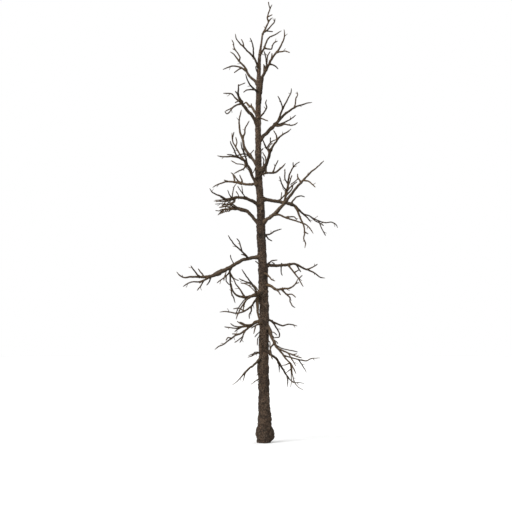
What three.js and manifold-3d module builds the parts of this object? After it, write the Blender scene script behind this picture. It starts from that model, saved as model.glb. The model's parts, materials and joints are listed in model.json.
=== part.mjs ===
// A dead conifer, standing bare: one slender trunk, its boughs, and the dead twigs that they end in.
// Millimetres, +Z up. The origin is the middle of the flat cut at ground level.
// X runs across the crown and Y through it, so a limb's heading is told in the XZ plane
// (0 right, 90 up, 180 left, 270 down) and its depth is how far it swings back (+) or forward (-).

import * as THREE from "three";
import Module from "manifold-3d";

const wasm = await Module();
wasm.setup();

// ---------------------------------------------------------------- driving dimensions

const METRE = 1000;
const SEAT_GAP = 0.35;            // each limb stands this far off the limb that carries it
const CLEARANCE = 5;              // and this far at least off every other limb

// The trunk: height, lean to the right, and radius, all in metres.
const TRUNK = [
  [0.0, 0.0, 0.17], [0.35, 0.006, 0.17], [0.7, 0.014, 0.17], [1.0, 0.004, 0.152],
  [1.5, -0.002, 0.145], [2.0, -0.01, 0.141], [2.6, -0.006, 0.133], [3.1, 0.006, 0.13],
  [3.6, 0.01, 0.123], [4.1, -0.018, 0.122], [4.8, -0.028, 0.121], [5.3, -0.055, 0.111],
  [6.0, -0.08, 0.106], [6.5, -0.088, 0.1], [7.0, -0.13, 0.093], [7.5, -0.152, 0.087],
  [8.2, -0.161, 0.079], [8.8, -0.161, 0.075], [9.3, -0.158, 0.066], [9.7, -0.152, 0.058],
  [10.2, -0.14, 0.052], [10.5, -0.13, 0.042], [10.7, -0.115, 0.034], [11.0, -0.07, 0.024],
  [11.22, -0.045, 0.017],
];
const TRUNK_SWAY = 0.03;          // the slow bend through the crown's depth
const SWAY_RATE = 0.8;            // radians of it for each metre of height
const SWAY_START = 3;             // the height up to which it builds
const TRUNK_SIDES = 15;
const TRUNK_RINGS = 32;
const RING_CROWDING = 1.35;       // over 1, the rings lie closer towards the foot

// The roots' shoulders round the foot: bearing in degrees, swell in metres, height of the swell.
const ROOT_SHOULDERS = [
  [2, 0.125, 0.13], [62, 0.085, 0.1], [118, 0.07, 0.16], [186, 0.075, 0.22],
  [236, 0.06, 0.12], [278, 0.11, 0.07], [330, 0.06, 0.16],
];
const SHOULDER_WIDTH = 24;        // degrees
const SHOULDER_RISE = 0.26;       // how far up a shoulder runs out
const SHOULDER_TUCK = 0.13;       // and how fast it draws in below, towards the cut

// Thickness, in millimetres.
const BARK = 8.5;                 // added all round to the radii in the tables of limbs
const COLLAR = 1.3;               // a limb's swelling where it leaves the trunk
const TIP_RADIUS = 10;
const FORK_RADIUS = 16.5;         // a fork's radius where it leaves, plus
const FORK_RADIUS_PER_METRE = 9;  // this much for each metre that it reaches
const FORK_SHARE = 0.85;          // and never more than this share of its parent
const TWIG_RADIUS = 8;
const TWIG_TIP_RADIUS = 6.5;
const SIDES = [[28, 6], [20, 5], [16.5, 4], [0, 3]];  // a limb over this radius has so many sides

// The seeded twigs.
const TWIG_SPACING = 0.65;        // metres of limb for each twig
const TWIG_STRETCH = [0.12, 0.98];  // the share of a limb that bears them
const TWIG_SCATTER = [0.1, 0.9];  // where each one stands within its own spacing
const TWIG_REACH = [0.05, 0.13];  // shortest and longest, in metres
const TWIG_SPREAD = [35, 68];     // degrees off the limb
const TWIG_DEPTH = 55;            // most that one swings forward or back
const TWIG_BEND = 24;             // most that one bends half-way
const FIRST_SEED = 1009;
const SEED_STEP = 7919;

// A limb's depth wanders a little from step to step, and a limb that would touch another
// or leave the crown is swung shallower or deeper until it is clear.
const WANDER = [0, 8, -6, 5, -8, 6];
const SWINGS = [0, -12, 12, -24, 24, -36, 36, -48, 48, -60, 60, -72, 72, -84, -96, -108, -120];
const DEEPEST = 74;

// The foot of a limb lies in what carries it, so it needs no room for this many radii.
const FOOT_IN_TRUNK = 1.25;
const FOOT_IN_LIMB = 2.2;
const FOOT_ON_TIP = 3;

// How far the crown reaches forward and back at a height, in metres.
const CROWN_DEPTH = [
  [1.4, 1.0], [3.0, 1.45], [5.0, 1.6], [7.0, 1.55], [9.0, 1.25], [10.5, 0.95], [12.1, 0.4],
];

// ---------------------------------------------------------------- the limbs

// bough(name, parent, place, reach, headings, depth, radius, tip radius)
// twigs(name, parent, place, reach, headings, depth, radius, forks)
// fork(place, reach, headings, depth, forks)
//
// A place on the trunk is a height in metres; a place on a limb is a share of its length, and 1
// is its tip. The reach is in metres, as it shows in the XZ plane, and is shared out
// evenly among the headings. Radii are in millimetres.

const bough = (name, parent, place, reach, headings, depth, radius, tipRadius) =>
  ({ name, parent, place, reach, headings, depth, radius: radius + BARK, tipRadius: tipRadius + BARK });
const twigs = (name, parent, place, reach, headings, depth, radius, forks) =>
  ({ name, parent, place, reach, headings, depth, radius: radius + BARK, forks, tipRadius: TIP_RADIUS });
const fork = (place, reach, headings, depth, forks = []) =>
  ({ place, reach, headings, depth, forks });

const BOUGHS = [
  bough("right_leader_bough", "trunk", 9.3, 0.95, [77, 81, 84, 83, 78, 62], -24, 32, 27),
  bough("high_left_bough", "trunk", 9.82, 0.55, [125, 128, 146, 124, 119], 35, 25, 20),
  bough("crook_left_bough", "trunk", 8.71, 0.77, [120, 116, 131, 138, 124, 128], -35, 34, 28),
  bough("high_right_bough", "trunk", 8.3, 0.64, [46, 41, 45, 46], 28, 38, 32),
  bough("upright_left_bough", "trunk", 7.6, 0.93, [130, 123, 129, 128, 119, 105, 95], 40, 28, 21),
  bough("knot_right_bough", "trunk", 7.45, 0.68, [34, 54, 68, 71, 74], -38, 35, 26),
  bough("level_left_bough", "trunk", 7.12, 0.48, [180, 185, 182, 165], 30, 25, 19),
  bough("fan_left_bough", "trunk", 7.02, 0.73, [128, 117, 113, 113, 120], -28, 29, 24),
  bough("level_right_bough", "trunk", 6.7, 0.85, [0, -11, -11, -9, -8, -14], 10, 38, 29),
  bough("thick_left_bough", "trunk", 6.5, 0.46, [142, 152, 153, 153], -38, 38, 30),
  bough("rising_left_bough", "trunk", 5.98, 0.86, [139, 132, 131, 140, 164, 168], 18, 36, 26),
  bough("rising_right_bough", "trunk", 6.0, 0.95, [41, 42, 36, 38, 49, 45, 52], -28, 38, 30),
  bough("rising_right_upper_bough", "rising_right_bough", 1, 0.64, [55, 49, 57, 48, 47], -20, 27, 18),
  bough("long_left_bough", "trunk", 5.13, 1.54, [187, 191, 192, 205, 208, 211, 206, 206, 205], -8, 36, 31),
  bough("low_right_bough", "trunk", 4.88, 0.73, [0, -2, 4, 4], 25, 32, 25),
  bough("front_left_bough", "trunk", 4.22, 0.24, [214, 213], -50, 42, 36),
  bough("drooping_right_bough", "trunk", 3.33, 0.63, [-50, -60, -76, -74, -58], -22, 28, 23),
  bough("lowest_right_bough", "trunk", 2.59, 0.58, [-40, -44, -33, -60], 30, 24, 18),
  bough("lowest_left_bough", "trunk", 2.42, 0.68, [223, 226, 221, 214, 224], -40, 21, 13),
];

// The long left bough is swollen towards its end: place, and extra radius.
const SWELLINGS = { long_left_bough: [0.79, 16] };
const SWELLING_LENGTH = 0.12;     // share of the bough

const TWIG_MASSES = [
  twigs("leader_tip_twigs", "trunk", 11.22, 0.9, [63, 64, 66, 68, 108, 80, 70, 71, 64], 8, 14, [
    fork(0.09, 0.49, [22, 50, 45, 50, 75], -30, [fork(0.14, 0.19, [-6], 20)]),
    fork(0.45, 0.14, [47], 30),
    fork(0.6, 0.14, [21], -40),
    fork(0.87, 0.19, [110, 98], -15),
  ]),
  twigs("top_right_twigs", "trunk", 10.66, 0.97, [54, 63, 73, 67, 48, 24, 32, 37], 30, 16, [
    fork(0.25, 0.5, [-14, -5, 75, 55, 25], -10),
  ]),
  twigs("top_left_twigs", "trunk", 10.3, 1.14, [117, 114, 132, 137, 135, 138, 128, 104], -30, 18, [
    fork(0.29, 0.51, [90, 92, 106, 113], -48),
    fork(0.63, 0.225, [96, 118], 10),
  ]),
  twigs("right_leader_twigs", "right_leader_bough", 1, 1.26, [62, 63, 57, 50, 60, 66, 76, 96], -14, 24, [
    fork(0.08, 0.47, [92, 98, 106], -38, [fork(0.3, 0.35, [82, 78, 55], -58)]),
    fork(0.18, 0.29, [-10, -22, -48], 35),
    fork(0.3, 0.17, [86], 40),
    fork(0.465, 0.38, [9, 4, -22], -40),
  ]),
  twigs("high_left_twigs", "high_left_bough", 1, 0.71, [114, 133, 132, 127, 128, 145], 30, 19, [
    fork(0.05, 0.71, [146, 158, 177, 196, 202], 10, [fork(0.24, 0.25, [213, 216], -20)]),
    fork(0.52, 0.66, [75, 117, 127, 118, 95, 118], 52, [fork(0.53, 0.09, [153], 20)]),
  ]),
  twigs("high_left_small_twigs", "trunk", 9.66, 0.6, [155, 138, 125, 115, 108], -60, 15, [
    fork(0.2, 0.33, [184, 190, 218], -40),
  ]),
  twigs("crook_left_twigs", "crook_left_bough", 1, 0.52, [117, 111, 97, 84, 88], -30, 26, [
    fork(0.07, 0.61, [206, 202, 214, 228, 240, 212, 130], -50, [fork(0.33, 0.31, [212, 205], -20)]),
    fork(0.08, 0.6, [142, 140, 133, 170, 180], -8),
    fork(0.24, 0.17, [208], 20),
    fork(0.48, 0.13, [129], -55),
    fork(0.93, 0.2, [20], -30),
  ]),
  twigs("short_left_twigs", "trunk", 8.97, 0.64, [128, 121, 118, 146, 132, 205], 60, 14, [
    fork(0.52, 0.1, [100], 40),
  ]),
  twigs("short_right_twigs", "trunk", 8.92, 0.58, [38, 46, 57, 68, 108, 75], -60, 13, [
    fork(0.06, 0.27, [-20, -25], -45),
  ]),
  twigs("high_right_twigs", "high_right_bough", 1, 1.27, [48, 48, 46, 34, 36, 29, 14, 22, 10], 25, 29, [
    fork(0.04, 0.67, [-22, 10, 22, -14, -8, 14, 33], -25),
    fork(0.05, 0.66, [8, 20, 27, 34, 38], 52),
    fork(0.16, 0.96, [75, 69, 66, 60, 64, 62, 84], -12, [fork(0.36, 0.37, [107, 118], -40)]),
    fork(0.6, 0.475, [78, 82, 80, 62, 100], 45),
  ]),
  twigs("upright_left_twigs", "upright_left_bough", 1, 0.83, [118, 99, 94, 91, 75, 78], 28, 19, [
    fork(0.08, 0.53, [62, 88, 62, 62], 52),
  ]),
  twigs("knot_right_twigs", "knot_right_bough", 1, 0.83, [64, 54, 52, 42, 28, 40], -30, 22, [
    fork(0.06, 0.36, [158, 120, 112], -55, [
      fork(0.35, 0.4, [58, 40, 18], -62, [fork(0.45, 0.15, [90], -30)]),
    ]),
    fork(0.44, 0.28, [101, 122], -10),
  ]),
  twigs("knot_right_low_twigs", "trunk", 7.36, 0.86, [20, 12, -2, 12, 40, 40, 52], 42, 20, [
    fork(0.24, 0.62, [88, 92, 98, 120], 60),
    fork(0.46, 0.39, [70, 64], 20),
  ]),
  twigs("level_left_twigs", "level_left_bough", 1, 0.86, [169, 169, 180, 197, 199, 211], 28, 19, [
    fork(0.05, 0.26, [84, 115, 108], 10),
    fork(0.04, 0.45, [145, 132, 122, 140], 50),
    fork(0.26, 0.26, [101, 108], 30),
    fork(0.48, 0.12, [158], 0),
  ]),
  twigs("fan_left_twigs", "fan_left_bough", 1, 0.88, [126, 150, 164, 176, 188, 176, 170], -25, 22, [
    fork(0.05, 0.62, [94, 112, 112, 98], -50, [fork(0.45, 0.49, [190, 200, 165, 176], -50)]),
    fork(0.08, 0.47, [250, 205, 207], -5),
    fork(0.2, 0.83, [122, 120, 121, 119, 100, 94], -8, [
      fork(0.5, 0.28, [76, 103], 20),
      fork(0.78, 0.2, [76], -40),
    ]),
    fork(0.37, 0.48, [125, 110, 120, 112], -55),
  ]),
  twigs("level_right_inner_twigs", "level_right_bough", 0.55, 0.45, [32, 50, 84], 45, 12, []),
  twigs("level_right_twigs", "level_right_bough", 1, 0.77, [-28, -42, -41, -42, -46, -50], 20, 27, [
    fork(0.06, 0.5, [55, 45, 18, -18], 45),
    fork(0.22, 1.22, [-64, -69, -66, -64, -76, -90, -100, -68, -100], -12, [
      fork(0.62, 0.12, [-30], -30),
    ]),
    fork(0.64, 1.07, [-11, -32, -25, -22, -10, 6, -20, -55], 38, [
      fork(0.2, 0.43, [-45, -25, -34], 10),
      fork(0.42, 0.47, [-67, -61], 55),
    ]),
  ]),
  twigs("thick_left_twigs", "thick_left_bough", 1, 1.11, [172, 180, 194, 186, 148, 160, 152, 124], -30, 28, [
    fork(0.05, 0.4, [124, 126, 120], -58, [fork(0.35, 0.23, [98], -30)]),
    fork(0.27, 0.62, [212, 190, 172, 180, 184], -55, [
      fork(0.5, 0.17, [150], -40),
      fork(0.62, 0.2, [196], -30),
    ]),
    fork(0.285, 0.56, [236, 214, 200, 190], 10, [
      fork(0.35, 0.29, [247, 232], -20),
      fork(0.62, 0.315, [242, 221], 30),
    ]),
    fork(0.36, 0.55, [205, 180, 176], -40),
    fork(0.37, 0.27, [122, 112], -50),
    fork(0.38, 0.45, [79, 79, 78, 50], -8),
  ]),
  twigs("rising_left_twigs", "rising_left_bough", 1, 0.58, [184, 186, 188, 218, 228], 22, 24, [
    fork(0.07, 0.27, [131, 132], 40),
    fork(0.11, 0.6, [145, 165, 178, 182], -20),
    fork(0.14, 0.455, [160, 180, 192], 48),
    fork(0.5, 0.12, [238, 230], 0),
    fork(0.58, 0.19, [180, 220], -10),
  ]),
  twigs("rising_right_twigs", "rising_right_upper_bough", 1, 0.87, [48, 47, 46, 35, 44, 45], -24, 17, [
    fork(0.06, 0.27, [125, 118, 92], 10, [fork(0.5, 0.27, [221, 217], 30)]),
    fork(0.15, 0.39, [-12, -38, -45], -48),
  ]),
  twigs("rising_right_upright_twigs", "rising_right_bough", 0.88, 1.29,
    [76, 77, 80, 84, 80, 64, 58, 32], -48, 19, [
      fork(0.2, 0.36, [40, 55, 72], -20),
      fork(0.29, 0.38, [48, 40, 36], -30),
      fork(0.3, 0.44, [137, 113, 107], -62),
      fork(0.36, 0.36, [70, 72], -30),
      fork(0.45, 0.43, [125, 92, 90], -25),
      fork(0.82, 0.13, [95], -50),
    ]),
  twigs("rising_right_lower_twigs", "rising_right_bough", 0.45, 1.24,
    [0, -22, -20, -16, -20, -22, -44, -58], -46, 16, [
      fork(0.28, 0.35, [8, 0, -45], -62),
    ]),
  twigs("mid_right_small_twigs", "trunk", 5.7, 0.6, [9, 8, 32, 22, 14], 62, 14, [
    fork(0.2, 0.26, [-58, -30], 35),
  ]),
  twigs("long_left_twigs", "long_left_bough", 1, 1.0, [186, 180, 178, 182, 188, 158, 134], 12, 28, [
    fork(0.05, 0.28, [258, 235], 45),
    fork(0.08, 0.78, [212, 200, 178, 196, 214], -28, [
      fork(0.12, 0.23, [209], -50),
      fork(0.24, 0.34, [243, 231], 20),
    ]),
    fork(0.22, 0.28, [125, 130], 45),
    fork(0.32, 0.41, [137, 128, 126, 125], -30),
  ]),
  twigs("long_left_upper_twigs", "long_left_bough", 0.25, 0.86, [128, 134, 138, 137, 122, 121], -45, 14, [
    fork(0.1, 0.16, [158], -20),
    fork(0.32, 0.39, [101, 107, 125], -20),
  ]),
  twigs("long_left_hanging_twigs", "long_left_bough", 0.62, 1.02,
    [270, 273, 271, 277, 277, 292, 286], 35, 15, [
      fork(0.13, 0.48, [225, 219, 217], 50, [fork(0.3, 0.3, [270, 310], 20)]),
      fork(0.2, 0.24, [-51, -63], 15),
    ]),
  twigs("low_right_twigs", "low_right_bough", 1, 1.11, [10, -23, -31, -20, -24, -31, -39, -10], 22, 21, [
    fork(0.22, 0.25, [-61, -56], 45),
    fork(0.5, 0.34, [21, 33], -10),
  ]),
  twigs("low_right_falling_twigs", "low_right_bough", 0.95, 0.74, [-52, -51, -51, -55, -62, -58], -20, 13, [
    fork(0.38, 0.16, [35], -40),
    fork(0.66, 0.14, [42], 0),
  ]),
  twigs("low_right_small_twigs", "trunk", 4.66, 0.4, [-5, -45, -48, -20], -62, 17, []),
  twigs("front_left_twigs", "front_left_bough", 1, 0.92, [198, 194, 178, 172, 155, 130, 108, 95], -22, 33, [
    fork(0.06, 0.84, [88, 122, 124, 124, 123, 122], -45, [
      fork(0.17, 0.34, [123, 143], -62),
      fork(0.42, 0.38, [163, 153], -30),
    ]),
    fork(0.2, 0.74, [218, 230, 236, 240, 243, 254], -40, [fork(0.33, 0.24, [262], -10)]),
    fork(0.38, 0.58, [119, 124, 128, 112], 5),
  ]),
  twigs("front_left_hanging_twigs", "trunk", 4.14, 0.9, [202, 262, 270, 272, 278, 285], -30, 28, [
    fork(0.28, 1.22, [228, 238, 220, 210, 200, 180, 169, 175, 187], 20, [
      fork(0.24, 0.36, [272, 240, 275], -10),
      fork(0.43, 0.33, [152, 190], 45),
    ]),
  ]),
  twigs("front_right_twigs", "trunk", 4.37, 1.12, [-12, -20, -36, 4, 8, 6, 28, 52, 68], -35, 31, [
    fork(0.3, 0.23, [-32, -54], -60),
    fork(0.48, 0.66, [-52, -41, -45, -88, -62, -38], -10, [fork(0.3, 0.28, [3, -37], -45)]),
    fork(0.86, 0.1, [20], -50),
  ]),
  twigs("low_left_twigs", "trunk", 3.34, 0.92, [180, 196, 220, 194, 188, 208, 220], 30, 34, [
    fork(0.4, 1.24, [218, 218, 210, 202, 217, 216, 218, 202, 219], 8, [
      fork(0.2, 0.37, [246, 253, 238], -25, [fork(0.5, 0.27, [214, 215], -45)]),
      fork(0.35, 0.2, [180], 40),
      fork(0.55, 0.2, [166, 235], -25),
    ]),
    fork(0.56, 0.31, [162, 152], 52),
    fork(0.68, 0.38, [180, 172, 142], 10),
    fork(0.8, 0.42, [180, 172, 172], 50),
  ]),
  twigs("low_left_small_twigs", "trunk", 3.27, 0.46, [175, 198, 250, 256], -55, 15, []),
  twigs("low_right_back_twigs", "trunk", 3.4, 0.98, [-9, -32, -27, -20, 14, -8, -18], 48, 20, [
    fork(0.22, 0.62, [-52, -58, -60, -64, -98, -178], 30),
  ]),
  twigs("drooping_right_twigs", "drooping_right_bough", 1, 1.04,
    [-62, -48, -50, -57, -43, -50, -62, -66], -25, 20, [
      fork(0.05, 0.48, [222, 250, 285, 292], -48),
      fork(0.22, 0.67, [-20, -22, -18, -20, -12], -52, [
        fork(0.45, 0.39, [-61, -58, -60], -60),
        fork(0.62, 0.13, [18], -30),
      ]),
      fork(0.44, 1.04, [-12, -18, -16, -12, -6, 24, 8, -2], 8, [
        fork(0.4, 0.44, [-55, -60, -60], 35),
      ]),
      fork(0.68, 0.26, [200, 186], -50),
      fork(0.7, 0.66, [-86, -88, -88, -99], 5),
      fork(0.74, 0.82, [-88, -82, -76, -66, -45, -28], -40, [fork(0.12, 0.2, [217], -15)]),
    ]),
  twigs("base_left_small_twigs", "trunk", 2.5, 0.5, [193, 205, 214, 207], 60, 14, []),
  twigs("lowest_right_twigs", "lowest_right_bough", 1, 1.02, [-56, -61, -59, -52, -35, -4, -14], 32, 18, [
    fork(0.06, 0.3, [-86, -90], 50),
    fork(0.48, 0.3, [-88, -92], 10),
  ]),
  twigs("lowest_left_twigs", "lowest_left_bough", 1, 0.47, [225, 230, 220, 215], -35, 13, [
    fork(0.08, 0.26, [257], -50),
  ]),
  twigs("lowest_left_back_twigs", "trunk", 1.86, 0.47, [221, 221, 219], 56, 11, []),
];

// ---------------------------------------------------------------- small helpers

const radians = (degrees) => degrees * Math.PI / 180;

// The value at x on the straight lines through (x, value) stations.
function along(stations, x, column) {
  let i = 1;
  while (i < stations.length - 1 && stations[i][0] < x) {
    i += 1;
  }
  const [low, high] = [stations[i - 1], stations[i]];
  const share = Math.min(1, Math.max(0, (x - low[0]) / (high[0] - low[0])));
  return low[column] + (high[column] - low[column]) * share;
}

// A seeded generator, the same each time (Park and Miller's).
function seeded(seed) {
  let state = seed;
  return (low, high) => {
    state = state * 16807 % 2147483647;
    return low + (high - low) * state / 2147483647;
  };
}

const trunkHeight = TRUNK[TRUNK.length - 1][0];
const trunkRadius = (height) => along(TRUNK, height, 2) * METRE;
const trunkCentre = (height) => new THREE.Vector3(
  along(TRUNK, height, 1) * METRE,
  Math.sin(height * SWAY_RATE) * TRUNK_SWAY * METRE * Math.min(1, height / SWAY_START),
  height * METRE,
);

// ---------------------------------------------------------------- closed solids from rings

// Joins rings of corners into one closed solid, with a fan at each end.
function solidFromRings(rings) {
  const sides = rings[0].length;
  const corners = rings.flat();
  const faces = [];
  for (let r = 0; r < rings.length - 1; r += 1) {
    for (let s = 0; s < sides; s += 1) {
      const here = r * sides + s;
      const next = r * sides + (s + 1) % sides;
      faces.push(here, next, next + sides, here, next + sides, here + sides);
    }
  }
  const last = (rings.length - 1) * sides;
  for (let s = 1; s < sides - 1; s += 1) {
    faces.push(0, s + 1, s, last, last + s, last + s + 1);
  }
  return new wasm.Manifold(new wasm.Mesh({
    numProp: 3,
    vertProperties: new Float32Array(corners.flatMap((corner) => [corner.x, corner.y, corner.z])),
    triVerts: new Uint32Array(faces),
  }));
}

// A tapering tube along a path. Its first ring lies square to firstDirection where that is given,
// so that it can stand face to face on the tip that it grows on from.
function tube(points, radii, sides, firstDirection) {
  const rings = [];
  let across = null;
  for (let i = 0; i < points.length; i += 1) {
    const before = points[Math.max(i - 1, 0)];
    const after = points[Math.min(i + 1, points.length - 1)];
    const tangent = i === 0 && firstDirection
      ? firstDirection.clone()
      : after.clone().sub(before).normalize();
    if (across === null) {
      across = new THREE.Vector3(0.31, 1, 0.17);
    }
    across.addScaledVector(tangent, -across.dot(tangent)).normalize();
    const up = new THREE.Vector3().crossVectors(tangent, across);
    const ring = [];
    for (let s = 0; s < sides; s += 1) {
      const turn = 2 * Math.PI * s / sides;
      ring.push(points[i].clone()
        .addScaledVector(across, Math.cos(turn) * radii[i])
        .addScaledVector(up, Math.sin(turn) * radii[i]));
    }
    rings.push(ring);
  }
  return solidFromRings(rings);
}

// ---------------------------------------------------------------- the trunk

// How far the roots' shoulders swell the foot at a height, in a direction.
function shoulderSwell(turn, height) {
  let swell = 0;
  for (const [bearing, most, level] of ROOT_SHOULDERS) {
    const away = Math.atan2(Math.sin(turn - radians(bearing)), Math.cos(turn - radians(bearing)));
    const round = away / radians(SHOULDER_WIDTH);
    const rise = (height - level) / (height > level ? SHOULDER_RISE : SHOULDER_TUCK);
    swell += most * Math.exp(-round * round - rise * rise);
  }
  return swell * METRE;
}

// The trunk, and with `extra` the same grown that much thicker and higher.
function trunkSolid(extra) {
  const rings = [];
  for (let r = 0; r <= TRUNK_RINGS; r += 1) {
    const share = r / TRUNK_RINGS;
    const height = trunkHeight * Math.pow(share, RING_CROWDING);
    const centre = trunkCentre(height);
    const ring = [];
    for (let s = 0; s < TRUNK_SIDES; s += 1) {
      const turn = 2 * Math.PI * s / TRUNK_SIDES;
      const radius = trunkRadius(height) + shoulderSwell(turn, height) + extra;
      ring.push(new THREE.Vector3(
        centre.x + Math.cos(turn) * radius,
        centre.y + Math.sin(turn) * radius,
        centre.z + extra * share,
      ));
    }
    rings.push(ring);
  }
  return solidFromRings(rings);
}

// ---------------------------------------------------------------- where the limbs run

// One step for each heading, all with the same length in the XZ plane.
function course(root, reach, headings, depth) {
  const points = [root];
  headings.forEach((heading, i) => {
    const step = reach * METRE / headings.length;
    const swing = radians(Math.max(-DEEPEST, Math.min(DEEPEST, depth + WANDER[i % WANDER.length])));
    const last = points[i];
    points.push(new THREE.Vector3(
      last.x + step * Math.cos(radians(heading)),
      last.y + step * Math.tan(swing),
      last.z + step * Math.sin(radians(heading)),
    ));
  });
  return points;
}

// The point and the radius at a share of a limb's length.
function placeOn(limb, share) {
  const steps = limb.points.length - 1;
  const i = Math.min(steps - 1, Math.floor(share * steps));
  const part = share * steps - i;
  return {
    point: limb.points[i].clone().lerp(limb.points[i + 1], part),
    radius: limb.radii[i] + (limb.radii[i + 1] - limb.radii[i]) * part,
    heading: limb.headings[i],
  };
}

function taper(count, radius, tipRadius, swelling) {
  const radii = [];
  for (let i = 0; i < count; i += 1) {
    const share = i / (count - 1);
    const off = swelling ? (share - swelling[0]) / SWELLING_LENGTH : 0;
    const extra = swelling ? swelling[1] * Math.exp(-off * off) : 0;
    radii.push(radius + (tipRadius - radius) * share + extra);
  }
  return radii;
}

// The least distance between the straight pieces a-b and c-d.
function pieceGap(a, b, c, d) {
  const u = b.clone().sub(a);
  const v = d.clone().sub(c);
  const w = a.clone().sub(c);
  const [uu, uv, vv, uw, vw] = [u.dot(u), u.dot(v), v.dot(v), u.dot(w), v.dot(w)];
  const skew = uu * vv - uv * uv;
  let s = skew > 1e-9 ? Math.min(1, Math.max(0, (uv * vw - vv * uw) / skew)) : 0;
  const t = Math.min(1, Math.max(0, (uv * s + vw) / vv));
  s = Math.min(1, Math.max(0, (uv * t - uw) / uu));
  return w.addScaledVector(u, s).addScaledVector(v, -t).length();
}

// The part of a path past a length measured from its root.
function pathBeyond(points, radii, length) {
  let left = length;
  for (let i = 0; i < points.length - 1; i += 1) {
    const piece = points[i].distanceTo(points[i + 1]);
    if (left < piece) {
      const start = points[i].clone().lerp(points[i + 1], left / piece);
      return { points: [start, ...points.slice(i + 1)], radii: radii.slice(i) };
    }
    left -= piece;
  }
  return { points: [], radii: [] };
}

const grown = [];                 // every limb placed so far, the trunk first

// How much room a path has to the limbs that stand already.
function room(points, radii, skip) {
  const free = pathBeyond(points, radii, skip);
  let least = Infinity;
  for (const other of grown) {
    for (let i = 0; i < free.points.length - 1; i += 1) {
      for (let j = 0; j < other.points.length - 1; j += 1) {
        const gap = pieceGap(free.points[i], free.points[i + 1], other.points[j], other.points[j + 1]);
        least = Math.min(least, gap - free.radii[i] - other.radii[j]);
      }
    }
  }
  return least;
}

// How far inside the crown's depth a path stays.
function inCrown(points) {
  return Math.min(...points.map((point) =>
    along(CROWN_DEPTH, point.z / METRE, 1) * METRE - Math.abs(point.y)));
}

// Lays a limb out, and swings it shallower or deeper until it is clear of the rest.
function place(root, limb, radius, tipRadius, skip, swelling) {
  const radii = taper(limb.headings.length + 1, radius, tipRadius, swelling);
  const outward = limb.depth < 0 ? -1 : 1;
  let best = null;
  for (const swing of SWINGS) {
    const points = course(root, limb.reach, limb.headings, limb.depth + swing * outward);
    const space = Math.min(room(points, radii, skip), inCrown(points));
    if (best === null || space > best.space) {
      best = { ...limb, points, radii, space };
    }
    if (space >= CLEARANCE) {
      break;
    }
  }
  grown.push(best);
  return best;
}

// Where a bough or a mass leaves its parent, and how much of its foot the parent hides.
function footing(limb, parents) {
  if (limb.parent === "trunk") {
    const swing = radians(limb.depth);
    const level = Math.hypot(Math.cos(radians(limb.headings[0])) * Math.cos(swing), Math.sin(swing));
    const hidden = (trunkRadius(limb.place) * FOOT_IN_TRUNK + limb.radius) / level;
    return { point: trunkCentre(limb.place), skip: hidden };
  }
  const parent = parents[limb.parent];
  const spot = placeOn(parent, limb.place);
  if (limb.place < 1) {
    return { point: spot.point, skip: FOOT_IN_LIMB * (spot.radius + limb.radius) };
  }
  const [last, before] = [parent.points.at(-1), parent.points.at(-2)];
  const direction = last.clone().sub(before).normalize();
  spot.point.addScaledVector(direction, SEAT_GAP);
  return { point: spot.point, skip: FOOT_ON_TIP * limb.radius, direction };
}

function layOut(limb, parents) {
  const foot = footing(limb, parents);
  const swelling = SWELLINGS[limb.name];
  const placed = place(foot.point, limb, limb.radius, limb.tipRadius, foot.skip, swelling);
  if (limb.parent === "trunk" && limb.place < trunkHeight) {
    placed.radii[0] *= COLLAR;
  }
  placed.direction = foot.direction;
  return placed;
}

// The forks of a limb, and theirs.
function layOutForks(limb) {
  limb.branches = limb.forks.map((child) => {
    const spot = placeOn(limb, child.place);
    const grownRadius = FORK_RADIUS + FORK_RADIUS_PER_METRE * child.reach;
    const radius = Math.min(spot.radius * FORK_SHARE, grownRadius);
    const foot = FOOT_IN_LIMB * (spot.radius + radius);
    const placed = place(spot.point, child, radius, TIP_RADIUS, foot);
    layOutForks(placed);
    return placed;
  });
}

// The seeded twigs of a limb and of its forks, each at a drawn place, to either side in turn.
// One that would touch a limb or leave the crown is skipped.
function sprout(limb, draw) {
  limb.twigs = [];
  const [low, high] = TWIG_STRETCH;
  const count = Math.round(limb.reach / TWIG_SPACING);
  for (let k = 0; k < count; k += 1) {
    const share = low + (high - low) * (k + draw(...TWIG_SCATTER)) / count;
    const side = k % 2 === 0 ? 1 : -1;
    const spread = side * draw(...TWIG_SPREAD);
    const reach = draw(...TWIG_REACH);
    const depth = draw(-TWIG_DEPTH, TWIG_DEPTH);
    const bend = draw(-TWIG_BEND, TWIG_BEND);
    const spot = placeOn(limb, share);
    const headings = [spot.heading + spread, spot.heading + spread + bend];
    const radius = Math.min(TWIG_RADIUS, spot.radius * FORK_SHARE);
    const points = course(spot.point, reach, headings, depth);
    const radii = taper(points.length, radius, TWIG_TIP_RADIUS);
    const foot = FOOT_IN_LIMB * (spot.radius + radius);
    const space = Math.min(room(points, radii, foot), inCrown(points));
    if (space >= CLEARANCE) {
      const twig = { points, radii };
      grown.push(twig);
      limb.twigs.push(twig);
    }
  }
  limb.branches.forEach((branch) => sprout(branch, draw));
}

// ---------------------------------------------------------------- the solids of the limbs

const sidesFor = (radius) => SIDES.find(([over]) => radius > over)[1];

// A limb's solid, and with `extra` the same grown that much thicker and longer at its tip.
function limbSolid(limb, extra) {
  const points = [...limb.points];
  const end = points.at(-1).clone().sub(points.at(-2)).normalize();
  points[points.length - 1] = points.at(-1).clone().addScaledVector(end, extra);
  const radii = limb.radii.map((radius) => radius + extra);
  return tube(points, radii, sidesFor(limb.radii[0]), limb.direction);
}

// Every tube of a mass, from its stem to its last twig.
function tubesOf(limb) {
  const own = [limbSolid(limb, 0), ...limb.twigs.map((twig) => limbSolid(twig, 0))];
  return own.concat(...limb.branches.map(tubesOf));
}

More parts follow.
